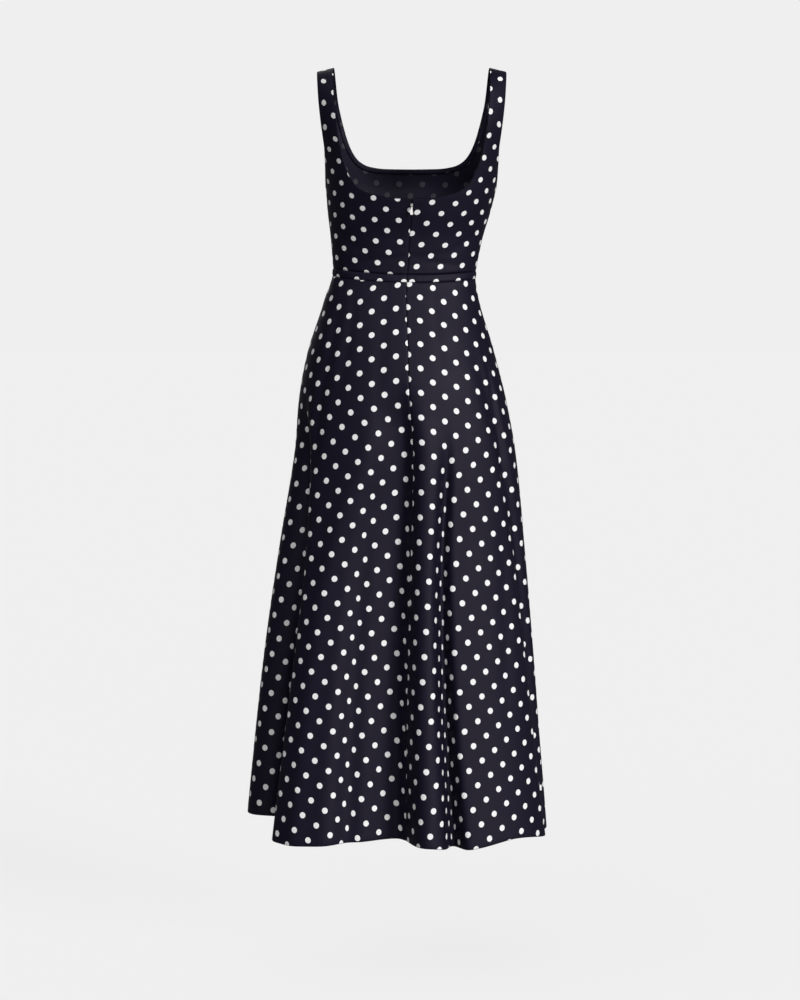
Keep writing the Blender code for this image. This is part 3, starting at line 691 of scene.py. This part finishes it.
add_band("waistband_back_left_strip", left_back_edges, BAND_COLUMNS, 0.0, BAND_PRINT["left"],
         "waistband_back_left")
add_band("waistband_back_right_strip", right_back_edges, BAND_COLUMNS, 1.0, BAND_PRINT["right"],
         "waistband_back_right")
add_band("waistband_front_strip", front_edges, 2 * BAND_COLUMNS, 0.5, BAND_PRINT["front"],
         "waistband_front")

# ================================================================ bodice
# A front and two backs, darted to the figure, each with its straps cut in one. The neckline, straps and
# armholes are turned under; the shoulder and side seams are plain.
UNDERARM_Z = -0.1960
NeckPoint = namedtuple("NeckPoint", "x z")
BACK_NECK = (
    NeckPoint(0.0000, -0.2165),
    NeckPoint(0.0300, -0.2160),
    NeckPoint(0.0550, -0.2115),
    NeckPoint(0.0750, -0.2055),
    NeckPoint(0.0890, -0.1975),
    NeckPoint(0.0970, -0.1870),
    NeckPoint(0.1030, -0.1760),
    NeckPoint(0.1085, -0.1640),
    NeckPoint(0.1130, -0.1500),
)
FRONT_NECK = (
    NeckPoint(0.0000, -0.1600),
    NeckPoint(0.0450, -0.1595),
    NeckPoint(0.0720, -0.1560),
    NeckPoint(0.0880, -0.1480),
    NeckPoint(0.0980, -0.1360),
    NeckPoint(0.1050, -0.1220),
    NeckPoint(0.1110, -0.1050),
)
StrapPoint = namedtuple("StrapPoint", "z inner_x outer_x")
BACK_STRAP = (
    StrapPoint(-0.150, 0.1130, 0.1415),
    StrapPoint(-0.133, 0.1165, 0.1420),
    StrapPoint(-0.117, 0.1197, 0.1440),
    StrapPoint(-0.085, 0.1238, 0.1480),
    StrapPoint(-0.052, 0.1268, 0.1510),
    StrapPoint(+0.000, STRAP_INNER_X, 0.1535),
)
FRONT_STRAP = (
    StrapPoint(-0.105, 0.1110, 0.1390),
    StrapPoint(-0.080, 0.1175, 0.1440),
    StrapPoint(-0.050, 0.1235, 0.1490),
    StrapPoint(+0.000, STRAP_INNER_X, 0.1535),
)
ArmholePoint = namedtuple("ArmholePoint", "before_side z")
BACK_ARMHOLE = (
    ArmholePoint(13.5, -0.166),
    ArmholePoint(9.0, -0.180),
    ArmholePoint(4.5, -0.190),
    ArmholePoint(0.0, UNDERARM_Z),
)
FRONT_ARMHOLE = (
    ArmholePoint(22.0, -0.140),
    ArmholePoint(13.0, -0.166),
    ArmholePoint(6.0, -0.186),
    ArmholePoint(0.0, UNDERARM_Z),
)
NECK_STEPS, STRAP_STEPS, ARMHOLE_STEPS = 36, 10, 18
# shares of the armhole's run: its even steps end at the first, and the finer ones lead to the side seam
ARMHOLE_EVEN_END, ARMHOLE_FINE_STEPS = 0.94, (0.96, 0.975, 0.988, 1.0)
LEVEL_POINTS = 49
BODICE_ROWS, STRAP_ROWS = 46, 60
EDGE_ALLOWANCE = 0.007
# small wrinkles above the waist and drags from the side seams; the front's two darts come first
BACK_BODICE_CREASES = (
    Crease(-0.055, -0.3180, 84, 0.070, 0.0050, 0.0009),
    Crease(-0.034, -0.3060, 98, 0.050, 0.0050, 0.0006),
    Crease(0.050, -0.3130, 95, 0.080, 0.0055, 0.0008),
    Crease(0.098, -0.2850, 60, 0.090, 0.0075, 0.0010),
    Crease(-0.103, -0.2800, -58, 0.090, 0.0075, 0.0010),
    Crease(-0.014, -0.2550, 10, 0.060, 0.0055, 0.0006),
    Crease(0.020, -0.2750, -12, 0.070, 0.0060, 0.0006),
)
FRONT_BODICE_CREASES = (
    Crease(0.076, -0.2880, -5, 0.085, 0.0045, 0.0018),
    Crease(-0.074, -0.2890, 5, 0.083, 0.0045, 0.0018),
    Crease(0.130, -0.2700, -62, 0.080, 0.0080, 0.0012),
    Crease(-0.128, -0.2740, 60, 0.085, 0.0080, 0.0012),
    Crease(0.010, -0.3120, 92, 0.080, 0.0060, 0.0008),
)
# how far a back strap's print has moved from the body's, across and down, reached this far above it
STRAP_DRIFT_RUN = 0.05
BACK_STRAP_DRIFT = {1: (-0.0092, -0.0048), -1: (0.0115, -0.0040)}
NO_DRIFT = (0.0, 0.0)
# the neckline dips where the zip's seam meets it
NOTCH_DEPTH, NOTCH_WIDTH = 0.0022, 0.0035
# where the print falls on the bodice, and how it leans and stretches there. The two backs' rows are fitted,
# as the skirt backs' are.
BodicePrint = namedtuple("BodicePrint", "across down lean tilt rise")
BODICE_PRINT = {
    "left": BodicePrint(-0.0650, 0.0778, 0.145, 0.021, 0.103),
    "right": BodicePrint(0.0340, 0.0736, -0.151, 0.007, 0.097),
    "front": BodicePrint(0.0, 0.010, 0.0, 0.0, 0.0),
}


def form_angle(x, z, front):
    """Angle at which the form has this x at this height, on the front or the back."""
    share = (x - read(SECTIONS, "centre_x", z)) / read(SECTIONS, "half_width", z)
    turn = np.degrees(np.arcsin(np.clip(np.sign(share) * np.abs(share) ** (SQUARENESS / 2), -1, 1)))
    return 180 - turn if front else turn


def neck_edge(neck, front, mirror):
    """Angles and heights from the centre line to the strap."""
    x, z = column(neck, "x"), column(neck, "z")
    run = np.concatenate([[0.0], np.cumsum(np.hypot(np.diff(x), np.diff(z)))])
    even = np.linspace(SEAM_STEPS[-1], run[-1], NECK_STEPS + 1)
    at = np.concatenate([SEAM_STEPS[:-1], even])
    edge_x, edge_z = smooth_read(at, run, x), smooth_read(at, run, z)
    if not front:
        edge_z = edge_z - NOTCH_DEPTH * np.exp(-((edge_x / NOTCH_WIDTH) ** 2))
    return form_angle(edge_x * mirror, edge_z, front), edge_z


def half_top_edge(neck, strap, armhole, front, mirror):
    """Angles and heights of one half's top edge, from the centre line out to the side seam."""
    neck_angles, neck_heights = neck_edge(neck, front, mirror)
    base = strap[0]
    share = np.linspace(0.0, 1.0, STRAP_STEPS + 1)
    base_x = (base.inner_x + (base.outer_x - base.inner_x) * share) * mirror
    base_angles = form_angle(base_x, np.full_like(base_x, base.z), front)
    before = np.array([abs(turn_between(base_angles[-1], SIDE * mirror))] + [p.before_side for p in armhole])
    heights = np.array([base.z] + [p.z for p in armhole])
    even_steps = np.linspace(0.0, ARMHOLE_EVEN_END, ARMHOLE_STEPS + 1)[1:]
    steps = np.concatenate([even_steps, ARMHOLE_FINE_STEPS])
    at = steps * (len(heights) - 1)
    places = np.arange(len(heights), dtype=float)
    inward = 1 if front else -1
    hole_angles = SIDE * mirror + inward * mirror * smooth_read(at, places, before)
    if front:
        hole_angles = np.where(hole_angles < 0, hole_angles + 360, hole_angles)
    angles = np.concatenate([neck_angles, base_angles[1:], hole_angles])
    heights = np.concatenate([neck_heights, np.full(STRAP_STEPS, base.z), smooth_read(at, places, heights)])
    return angles, heights


def bodice_body(angles, heights, bottom):
    """Points ruled in angle and height between the waist seam and the top edge, with their angles."""
    rows = []
    for down in np.linspace(0.0, 1.0, BODICE_ROWS + 1):
        turn = angles + (bottom - angles) * down
        z = heights + (band_top(bottom) - heights) * down
        rows.append(cloth_point(turn, z))
    return np.array(rows)


def level_run(angle, z, start):
    """Length along the level section from the start angle, for arrays of angles and heights."""
    share = np.linspace(0.0, 1.0, LEVEL_POINTS)
    turns = start + (angle - start)[..., None] * share
    points = form_point(turns, np.broadcast_to(z[..., None], turns.shape).copy())
    return np.linalg.norm(np.diff(points, axis=-2), axis=-1).sum(-1) * np.sign(angle - start)


def strap_points(strap, front, mirror, base):
    """Rows from the shoulder seam down to base, the points that the bodice's top edge already has."""
    share = np.linspace(0.0, 1.0, STRAP_STEPS + 1)
    lift = np.sin(np.linspace(1.0, 0.0, STRAP_ROWS + 1) * math.pi / 2)
    rows = []
    for z in strap[0].z * (1 - lift[:-1]):
        inner, outer = read(strap, "inner_x", z), read(strap, "outer_x", z)
        x = (inner + (outer - inner) * share) * mirror
        rows.append(cloth_point(form_angle(x, np.full_like(x, z), front), np.full_like(x, z)))
    rows = np.array(rows)
    if front == (mirror > 0):
        rows = rows[:, ::-1]
    return np.concatenate([rows, base[None]])


def strap_patch(points, flat_base, drift):
    """flat_base is where the bodice's flat cut puts the strap's lowest row."""
    up = running(points[::-1], 0)[::-1]
    width = running(points, 1)
    middle = points.shape[1] // 2
    across = width - width[:, middle:middle + 1]
    shift = points[:, middle, 0] - points[-1, middle, 0]
    sign = np.sign(flat_base[-1, 0] - flat_base[0, 0])
    places = np.empty((*points.shape[:2], 2))
    places[..., 0] = flat_base[middle, 0] + sign * across + (shift * np.sign(points[-1, middle, 1]))[:, None]
    places[..., 1] = flat_base[None, :, 1] - up
    places += np.array(drift) * ease(up / STRAP_DRIFT_RUN)[..., None]
    free = np.zeros(points.shape[:2])
    free[:, 0] = free[:, -1] = 1.0
    return Patch(points, places, free)


def bodice_patches(points, angles, heights, bottom, strap_spans, free_top, start, dots, creases):
    """Body and straps. strap_spans are (strap table, front, mirror, first column, drift of the print)."""
    shares = np.linspace(0.0, 1.0, BODICE_ROWS + 1)[:, None]
    turns = angles + (bottom - angles) * shares
    z = heights + (band_top(bottom) - heights) * shares
    across = level_run(turns, z, start)
    below = running(points[::-1], 0)[::-1]
    flat_x = across + dots.across - dots.lean * below
    flat = np.stack([flat_x, dots.down - below * (1 + dots.rise) + dots.tilt * across], -1)
    run = running(points, 1)
    inward = seam_roll(below, WAIST_ROLL) + puckers(below, run, 0.016)
    inward += seam_roll(run) + puckers(run, below, 0.014)
    inward += seam_roll(run[:, -1:] - run) + puckers(run[:, -1:] - run, below, 0.015)
    inward += crease_depth(creases, across, points[..., 2])
    points = points - outward(points) * inward[..., None]
    free = np.zeros(points.shape[:2])
    free[0] = free_top
    patches = [Patch(points, flat, free)]
    for strap, front, mirror, first, drift in strap_spans:
        base = slice(first, first + STRAP_STEPS + 1)
        patches.append(strap_patch(strap_points(strap, front, mirror, points[0, base]), flat[0, base], drift))
    return patches


def add_back_bodice(name, mirror, dots, node_name):
    angles, heights = half_top_edge(BACK_NECK, BACK_STRAP, BACK_ARMHOLE, False, mirror)
    start = centre_back(heights[0])
    angles[0] = start
    count = len(angles) - 2 * (len(SEAM_STEPS) - 1)
    bottom = even_angles(centre_back(BAND_TOP_Z), SIDE * mirror, band_top, count)
    strap_first = NECK_STEPS + len(SEAM_STEPS) - 1
    free_top = np.ones(len(angles))
    free_top[strap_first + 1:strap_first + STRAP_STEPS] = 0.0
    first = strap_first
    if mirror < 0:
        angles, heights, bottom, free_top = angles[::-1], heights[::-1], bottom[::-1], free_top[::-1]
        first = len(angles) - 1 - strap_first - STRAP_STEPS
    points = bodice_body(angles, heights, bottom)
    spans = [(BACK_STRAP, False, mirror, first, BACK_STRAP_DRIFT[mirror])]
    patches = bodice_patches(points, angles, heights, bottom, spans, free_top, start, dots,
                             BACK_BODICE_CREASES)
    cloth_piece(name, patches, node_name, EDGE_ALLOWANCE)


def add_front_bodice(name, dots, node_name):
    left = half_top_edge(FRONT_NECK, FRONT_STRAP, FRONT_ARMHOLE, True, 1)
    right = half_top_edge(FRONT_NECK, FRONT_STRAP, FRONT_ARMHOLE, True, -1)
    angles = np.concatenate([left[0][::-1], right[0][1:]])
    heights = np.concatenate([left[1][::-1], right[1][1:]])
    count = len(angles) - 2 * (len(SEAM_STEPS) - 1)
    bottom = even_angles(*front_edges(BAND_TOP_Z), band_top, count)
    points = bodice_body(angles, heights, bottom)
    armhole = ARMHOLE_STEPS + len(ARMHOLE_FINE_STEPS)
    last = len(angles) - 1
    firsts = (armhole, last - armhole - STRAP_STEPS)
    free_top = np.ones(len(angles))
    for first in firsts:
        free_top[first + 1:first + STRAP_STEPS] = 0.0
    spans = [(FRONT_STRAP, True, 1, firsts[0], NO_DRIFT), (FRONT_STRAP, True, -1, firsts[1], NO_DRIFT)]
    patches = bodice_patches(points, angles, heights, bottom, spans, free_top, 180.0, dots,
                             FRONT_BODICE_CREASES)
    cloth_piece(name, patches, node_name, EDGE_ALLOWANCE)


add_back_bodice("bodice_back_left_panel", 1, BODICE_PRINT["left"], "bodice_back_left")
add_back_bodice("bodice_back_right_panel", -1, BODICE_PRINT["right"], "bodice_back_right")
add_front_bodice("bodice_front_panel", BODICE_PRINT["front"], "bodice_front")

# ================================================================ zip
# An invisible zip behind the centre-back seam, closed, from the neckline to the hips: two woven nylon tapes
# and a nylon coil inside. A small nickel slider sits at the top, and its drop-shaped pull swings on a pin.
ZIP_BOTTOM_Z = -0.475
TAPE_TOP_DROP = 0.004
TAPE_WIDTH, TAPE_PLY = 0.011, 0.0005
TAPE_ROWS, TAPE_COLUMNS = 70, 9
TAPE_FIRST_SHARE, TAPE_EASE = 0.04, 1.03
COIL_PITCH, COIL_RADIUS, COIL_WIRE = 0.0011, 0.0012, 0.00034
COIL_DEPTH, COIL_FLATNESS, COIL_SLANT = 0.0034, 0.6, 0.35
COIL_TOP_DROP, COIL_END_RISE = 0.010, 0.004
TAPE_DEPTH, TAPE_RISE = 0.0022, 0.0011
SLIDER_TAPER = 0.62
SLIDER_Z = -0.2270
SLIDER_SIZE = (0.0046, 0.0020, 0.0080)
PIN_RADIUS, PIN_Z = 0.0005, 0.0016
EAR_SIZE, EAR_BEYOND_PIN = (0.0008, 0.0052, 0.0026), 0.0015
BODY_BEVEL, EAR_BEVEL, FINE_BEVEL = 0.0005, 0.0003, 0.0001
EYE_LENGTH, EYE_RADIUS, EYE_WALL = 0.0022, 0.0014, 0.0005
PULL_LENGTH, PULL_WIDTH, PULL_NECK, PULL_THICKNESS = 0.0150, 0.0046, 0.0020, 0.0009
RIM_WIDTH, RIM_STEP, RIM_SINK = 0.0004, 0.00015, 0.00012


def nylon_material(name, colour, rib_scale):
    """Dark dyed nylon, ribbed across the tape."""
    made, tree, shader = new_material(name)
    place = node(tree, "ShaderNodeTexCoord").outputs["Object"]
    banding = {"Vector": place, "Scale": rib_scale, "Distortion": 0.6}
    ribs = node(tree, "ShaderNodeTexWave", banding, bands_direction="Z").outputs["Fac"]
    crepe, bump = add_weave(tree, place, 0.3, 0.0002)
    fill_in(tree, bump, {"Height": maths(tree, "ADD", ribs, crepe.outputs["Height"])})
    tone = mixed(tree, ribs, colour, shade(colour, 1.8))
    fill_in(tree, shader, {"Normal": bump.outputs["Normal"], "Base Color": tone, "Roughness": 0.5})
    return made


def nickel_material():
    """Pale nickel plate with a soft brushed grain, a little duller where it is handled."""
    made, tree, shader = new_material("pale_nickel")
    place = node(tree, "ShaderNodeTexCoord").outputs["Object"]
    grain = node(tree, "ShaderNodeMapping", {"Vector": place, "Scale": (9000.0, 9000.0, 700.0)})
    strokes = {"Vector": grain.outputs["Vector"], "Scale": 1.0, "Detail": 2.0}
    brushed = node(tree, "ShaderNodeTexNoise", strokes).outputs["Fac"]
    handled = node(tree, "ShaderNodeTexNoise", {"Vector": place, "Scale": 400.0}).outputs["Fac"]
    rough = node(tree, "ShaderNodeMapRange", {"Value": brushed, "To Min": 0.24, "To Max": 0.46})
    bump = node(tree, "ShaderNodeBump", {"Strength": 0.15, "Distance": 0.00005, "Height": brushed})
    fill_in(tree, shader, {
        "Base Color": mixed(tree, handled, (0.56, 0.54, 0.52, 1.0), (0.70, 0.68, 0.66, 1.0)),
        "Roughness": rough.outputs["Result"],
        "Normal": bump.outputs["Normal"],
        "Metallic": 1.0,
    })
    return made


tape_weave = nylon_material("zip_tape_weave", (0.0050, 0.0042, 0.0120, 1.0), 190.0)
coil_nylon = nylon_material("zip_coil_nylon", (0.0080, 0.0070, 0.0140, 1.0), 20.0)
nickel = nickel_material()


def seam_frame(z):
    """Point on the centre-back seam, with the ways out of the back and up along the seam."""
    rise_step = 0.002
    above, below = z + rise_step, z - rise_step
    rise = cloth_point(centre_back(above), above) - cloth_point(centre_back(below), below)
    rise /= np.linalg.norm(rise)
    out = np.cross((-1.0, 0.0, 0.0), rise)
    return cloth_point(centre_back(z), z), out / np.linalg.norm(out), rise


def add_tape(name, side):
    """side is 1 on the wearer's left. The tape lies deeper at the seam, where the cloth is rolled in."""
    share = np.linspace(TAPE_FIRST_SHARE, 1.0, TAPE_COLUMNS)[::side]
    rows = []
    for z in np.linspace(BACK_NECK[0].z - TAPE_TOP_DROP, ZIP_BOTTOM_Z, TAPE_ROWS):
        centre = centre_back(z)
        per_degree = np.linalg.norm(cloth_point(centre + side, z) - cloth_point(centre, z))
        angles = centre + side * share * TAPE_WIDTH / per_degree
        _, out, _ = seam_frame(z)
        inset = TAPE_DEPTH - TAPE_RISE * np.sqrt(share)
        rows.append(cloth_point(angles, np.full_like(angles, z)) - out * inset[:, None])
    points = np.array(rows)
    down = running(points, 0)
    flat = np.stack([np.broadcast_to(side * share * TAPE_WIDTH, down.shape), -down], -1)
    patch = Patch(points, flat, np.zeros(down.shape))
    cloth_piece(name, [patch], "zip_tape", 0.0,
                (tape_weave, tape_weave), TAPE_PLY)


add_tape("zip_tape_left", 1)
add_tape("zip_tape_right", -1)

# the coil: one flattened turn of nylon wire, copied down the seam
bpy.ops.mesh.primitive_torus_add(major_segments=12, minor_segments=6, major_radius=COIL_RADIUS,
                                 minor_radius=COIL_WIRE)
turn = bpy.context.object
turn_points = np.array([v.co for v in turn.data.vertices]) * (1.0, COIL_FLATNESS, 1.0)
turn_points[:, 2] += COIL_SLANT * turn_points[:, 0]
turn_faces = [tuple(face.vertices) for face in turn.data.polygons]
bpy.data.objects.remove(turn)
coil_points, coil_faces = [], []
coil_top_z = BACK_NECK[0].z - TAPE_TOP_DROP - COIL_TOP_DROP
for z in np.arange(coil_top_z, ZIP_BOTTOM_Z + COIL_END_RISE, -COIL_PITCH):
    point, out, rise = seam_frame(z)
    first = len(coil_points) * len(turn_points)
    basis = np.array([np.cross(out, rise), out, rise])
    coil_points.append(turn_points @ basis + point - out * COIL_DEPTH)
    coil_faces += [tuple(first + corner for corner in face) for face in turn_faces]
coil_mesh = bpy.data.meshes.new("zip_coil")
coil_mesh.from_pydata(np.concatenate(coil_points).tolist(), [], coil_faces)
coil_mesh.shade_smooth()
coil_mesh.materials.append(coil_nylon)
coil = linked("zip_coil", coil_mesh)
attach(coil, "dress")
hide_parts("zip_tape")


def chosen(piece, wanted):
    """Edit mode with only the vertices selected for which wanted(point) holds."""
    bpy.ops.object.mode_set(mode="EDIT")
    bpy.ops.mesh.select_mode(type="VERT")
    bpy.ops.mesh.select_all(action="DESELECT")
    bpy.ops.object.mode_set(mode="OBJECT")
    for vert in piece.data.vertices:
        vert.select = wanted(vert.co)
    bpy.ops.object.mode_set(mode="EDIT")


def rounded(piece, width, segments=3):
    bevel = piece.modifiers.new("Edges", "BEVEL")
    bevel.width = width
    bevel.segments = segments
    bevel.limit_method = "ANGLE"
    bpy.ops.object.modifier_apply(modifier=bevel.name)


def make_active(piece):
    """Selects this piece alone, so that the next operators act on it."""
    bpy.ops.object.select_all(action="DESELECT")
    piece.select_set(True)
    bpy.context.view_layer.objects.active = piece


def settle():
    """Puts the selected piece's place, turn and size into its mesh."""
    bpy.ops.object.transform_apply(location=True, rotation=True, scale=True)


def united(pieces, name):
    """Boolean union of closed parts into the first."""
    for other in pieces[1:]:
        union = pieces[0].modifiers.new("Join", "BOOLEAN")
        union.operation = "UNION"
        union.solver = "EXACT"
        union.object = other
    make_active(pieces[0])
    for union in list(pieces[0].modifiers):
        bpy.ops.object.modifier_apply(modifier=union.name)
    for other in pieces[1:]:
        bpy.data.objects.remove(other)
    pieces[0].name = name
    return pieces[0]


def small_block(size, location):
    bpy.ops.mesh.primitive_cube_add(size=1.0, location=location)
    piece = bpy.context.object
    piece.scale = size
    bpy.ops.object.transform_apply(location=True, rotation=False, scale=True)
    return piece


def metal_piece(piece, body, node_name):
    piece.data.materials.clear()
    piece.data.materials.append(nickel)
    make_active(piece)
    bpy.ops.object.shade_smooth_by_angle(angle=math.radians(35))
    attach(piece, body)
    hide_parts(node_name)


# the slider: a body that narrows downwards, two ears and a pin, made upright and then leant with the cloth
pin_y = SLIDER_SIZE[1] / 2 + EYE_RADIUS + SEAM_GAP
ear_x = EYE_LENGTH / 2 + SEAM_GAP + EAR_SIZE[0] / 2
body = small_block(SLIDER_SIZE, (0, 0, 0))
chosen(body, lambda co: co.z < 0)
bpy.ops.transform.resize(value=(SLIDER_TAPER, 1.0, 1.0))
bpy.ops.mesh.select_all(action="SELECT")
bpy.ops.mesh.subdivide(number_cuts=2)
bpy.ops.object.mode_set(mode="OBJECT")
rounded(body, BODY_BEVEL)
ears = []
for side in (-1, 1):
    ear = small_block(EAR_SIZE, (side * ear_x, pin_y + EAR_BEYOND_PIN - EAR_SIZE[1] / 2, PIN_Z))
    rounded(ear, EAR_BEVEL)
    ears.append(ear)
bpy.ops.mesh.primitive_cylinder_add(vertices=24, radius=PIN_RADIUS, depth=2 * ear_x,
                                    location=(0, pin_y, PIN_Z), rotation=(0, math.pi / 2, 0))
pin = bpy.context.object
slider = united([body, *ears, pin], "zip_slider_body")
slider_point, slider_out, slider_rise = seam_frame(SLIDER_Z)
slider.rotation_euler = (-math.atan2(slider_rise[1], slider_rise[2]), 0, 0)
slider.location = slider_point + slider_out * (SEAM_GAP + SLIDER_SIZE[1] / 2)
bpy.context.view_layer.update()
pivot = slider.matrix_world @ Vector((0, pin_y, PIN_Z))
settle()
metal_piece(slider, "dress", "zip_slider")

# the pull: a drop-shaped tab with a rim, hanging from a tube eye on the pin
belly_z = -PULL_LENGTH + PULL_WIDTH / 2
bpy.ops.mesh.primitive_circle_add(vertices=40, radius=PULL_WIDTH / 2, fill_type="NGON",
                                  location=(0, 0, belly_z), rotation=(math.pi / 2, 0, 0))
tab = bpy.context.object
settle()
neck_top = -0.8 * EYE_RADIUS
flat_share = 0.3
for vert in tab.data.vertices:
    if vert.co.z > belly_z + 1e-6:
        from_middle = vert.co.x / (PULL_WIDTH / 2)
        rise = min(1.0, (1 - abs(from_middle)) / (1 - flat_share))
        half = (PULL_WIDTH + (PULL_NECK - PULL_WIDTH) * rise) / 2
        vert.co.x = math.copysign(half, from_middle) if rise < 1 else from_middle / flat_share * half
        vert.co.z = belly_z + rise * (neck_top - belly_z)
chosen(tab, lambda co: True)
bpy.ops.mesh.extrude_region_move(TRANSFORM_OT_translate={"value": (0, PULL_THICKNESS, 0)})
bpy.ops.mesh.select_all(action="SELECT")
bpy.ops.mesh.normals_make_consistent(inside=False)
bpy.ops.transform.translate(value=(0, -PULL_THICKNESS / 2, 0))
for outer in (-1, 1):
    bpy.ops.mesh.select_mode(type="FACE")
    bpy.ops.mesh.select_all(action="DESELECT")
    bpy.ops.object.mode_set(mode="OBJECT")
    for face in tab.data.polygons:
        face.select = face.normal.y * outer > 0.9
    bpy.ops.object.mode_set(mode="EDIT")
    bpy.ops.mesh.inset(thickness=RIM_WIDTH, depth=0.0)
    bpy.ops.mesh.inset(thickness=RIM_STEP, depth=-RIM_SINK)
bpy.ops.object.mode_set(mode="OBJECT")
rounded(tab, FINE_BEVEL, 2)
bpy.ops.mesh.primitive_cylinder_add(vertices=32, radius=EYE_RADIUS, depth=EYE_LENGTH, end_fill_type="NOTHING",
                                    rotation=(0, math.pi / 2, 0))
eye = bpy.context.object
settle()
eye_wall = eye.modifiers.new("Wall", "SOLIDIFY")
eye_wall.thickness = EYE_WALL
eye_wall.offset = -1.0
bpy.ops.object.modifier_apply(modifier=eye_wall.name)
rounded(eye, FINE_BEVEL, 2)
pull = united([tab, eye], "zip_pull_tab")
pull.location = pivot
settle()
metal_piece(pull, "zip_pull", "zip_pull")

# ================================================================ studio
# A plain pale floor under soft light: a broad key from the right of the camera, low fills from the front and
# above, a weak one for the far side, and an even sky.
FLOOR_Z = -1.514
floor_paint, floor_tree, pale = new_material("studio_floor")
fill_in(floor_tree, pale, {
    "Base Color": (0.14, 0.14, 0.14, 1.0),
    "Roughness": 0.9,
    "Specular IOR Level": 0.0,
    "Emission Color": (1.0, 1.0, 1.0, 1.0),
    "Emission Strength": 0.772,
})
dull = node(floor_tree, "ShaderNodeBsdfDiffuse", {"Color": (0.25, 0.25, 0.25, 1.0)})
in_view = node(floor_tree, "ShaderNodeLightPath").outputs["Is Camera Ray"]
halves = {"Fac": in_view, 1: dull.outputs["BSDF"], 2: pale.outputs["BSDF"]}
floor_mix = node(floor_tree, "ShaderNodeMixShader", halves)
fill_in(floor_tree, floor_tree.nodes["Material Output"], {"Surface": floor_mix.outputs["Shader"]})
bpy.ops.mesh.primitive_plane_add(size=80.0, location=(0, 0, FLOOR_Z))
floor = bpy.context.object
floor.name = "studio_floor"
floor.data.materials.append(floor_paint)

world = bpy.data.worlds.new("studio")
bpy.context.scene.world = world
world.use_nodes = True
sky = world.node_tree
fill = sky.nodes["Background"]
fill_in(sky, fill, {"Color": (0.95, 0.96, 1.0, 1.0), "Strength": 0.10})
backdrop = node(sky, "ShaderNodeBackground", {"Color": (0.863, 0.863, 0.863, 1.0)})
seen = node(sky, "ShaderNodeLightPath").outputs["Is Camera Ray"]
choices = {"Fac": seen, 1: fill.outputs["Background"], 2: backdrop.outputs["Background"]}
either = node(sky, "ShaderNodeMixShader", choices)
fill_in(sky, sky.nodes["World Output"], {"Surface": either.outputs["Shader"]})


def add_sun(name, towards, strength, spread):
    """towards is the direction that the light travels in."""
    lamp = bpy.data.lights.new(name, "SUN")
    lamp.energy = strength
    lamp.angle = math.radians(spread)
    linked(name, lamp).rotation_euler = Vector(towards).to_track_quat("-Z", "Y").to_euler()


add_sun("key", (0.66, -0.70, -0.28), 2.5, 18.0)
add_sun("front_fill", (0.08, -0.98, -0.10), 0.75, 36.0)
add_sun("top_fill", (-0.25, -0.45, -0.86), 0.9, 60.0)
add_sun("far_side_fill", (-0.25, 0.88, -0.40), 0.6, 40.0)

# camera at the back of the dress, a little above its middle and tilted down
CAMERA_DISTANCE = 4.0
CAMERA_TILT = math.radians(5.0)
AIM = Vector((0.019, 0.0, -0.709))
lens = bpy.data.cameras.new("camera")
lens.sensor_fit = "HORIZONTAL"
lens.sensor_width = 36.0
lens.lens = 108.4
camera = linked("camera", lens)
camera.location = AIM + CAMERA_DISTANCE * Vector((0.0, math.cos(CAMERA_TILT), math.sin(CAMERA_TILT)))
camera.rotation_euler = (AIM - camera.location).to_track_quat("-Z", "Y").to_euler()
bpy.context.scene.camera = camera
bpy.context.scene.view_settings.view_transform = "Standard"
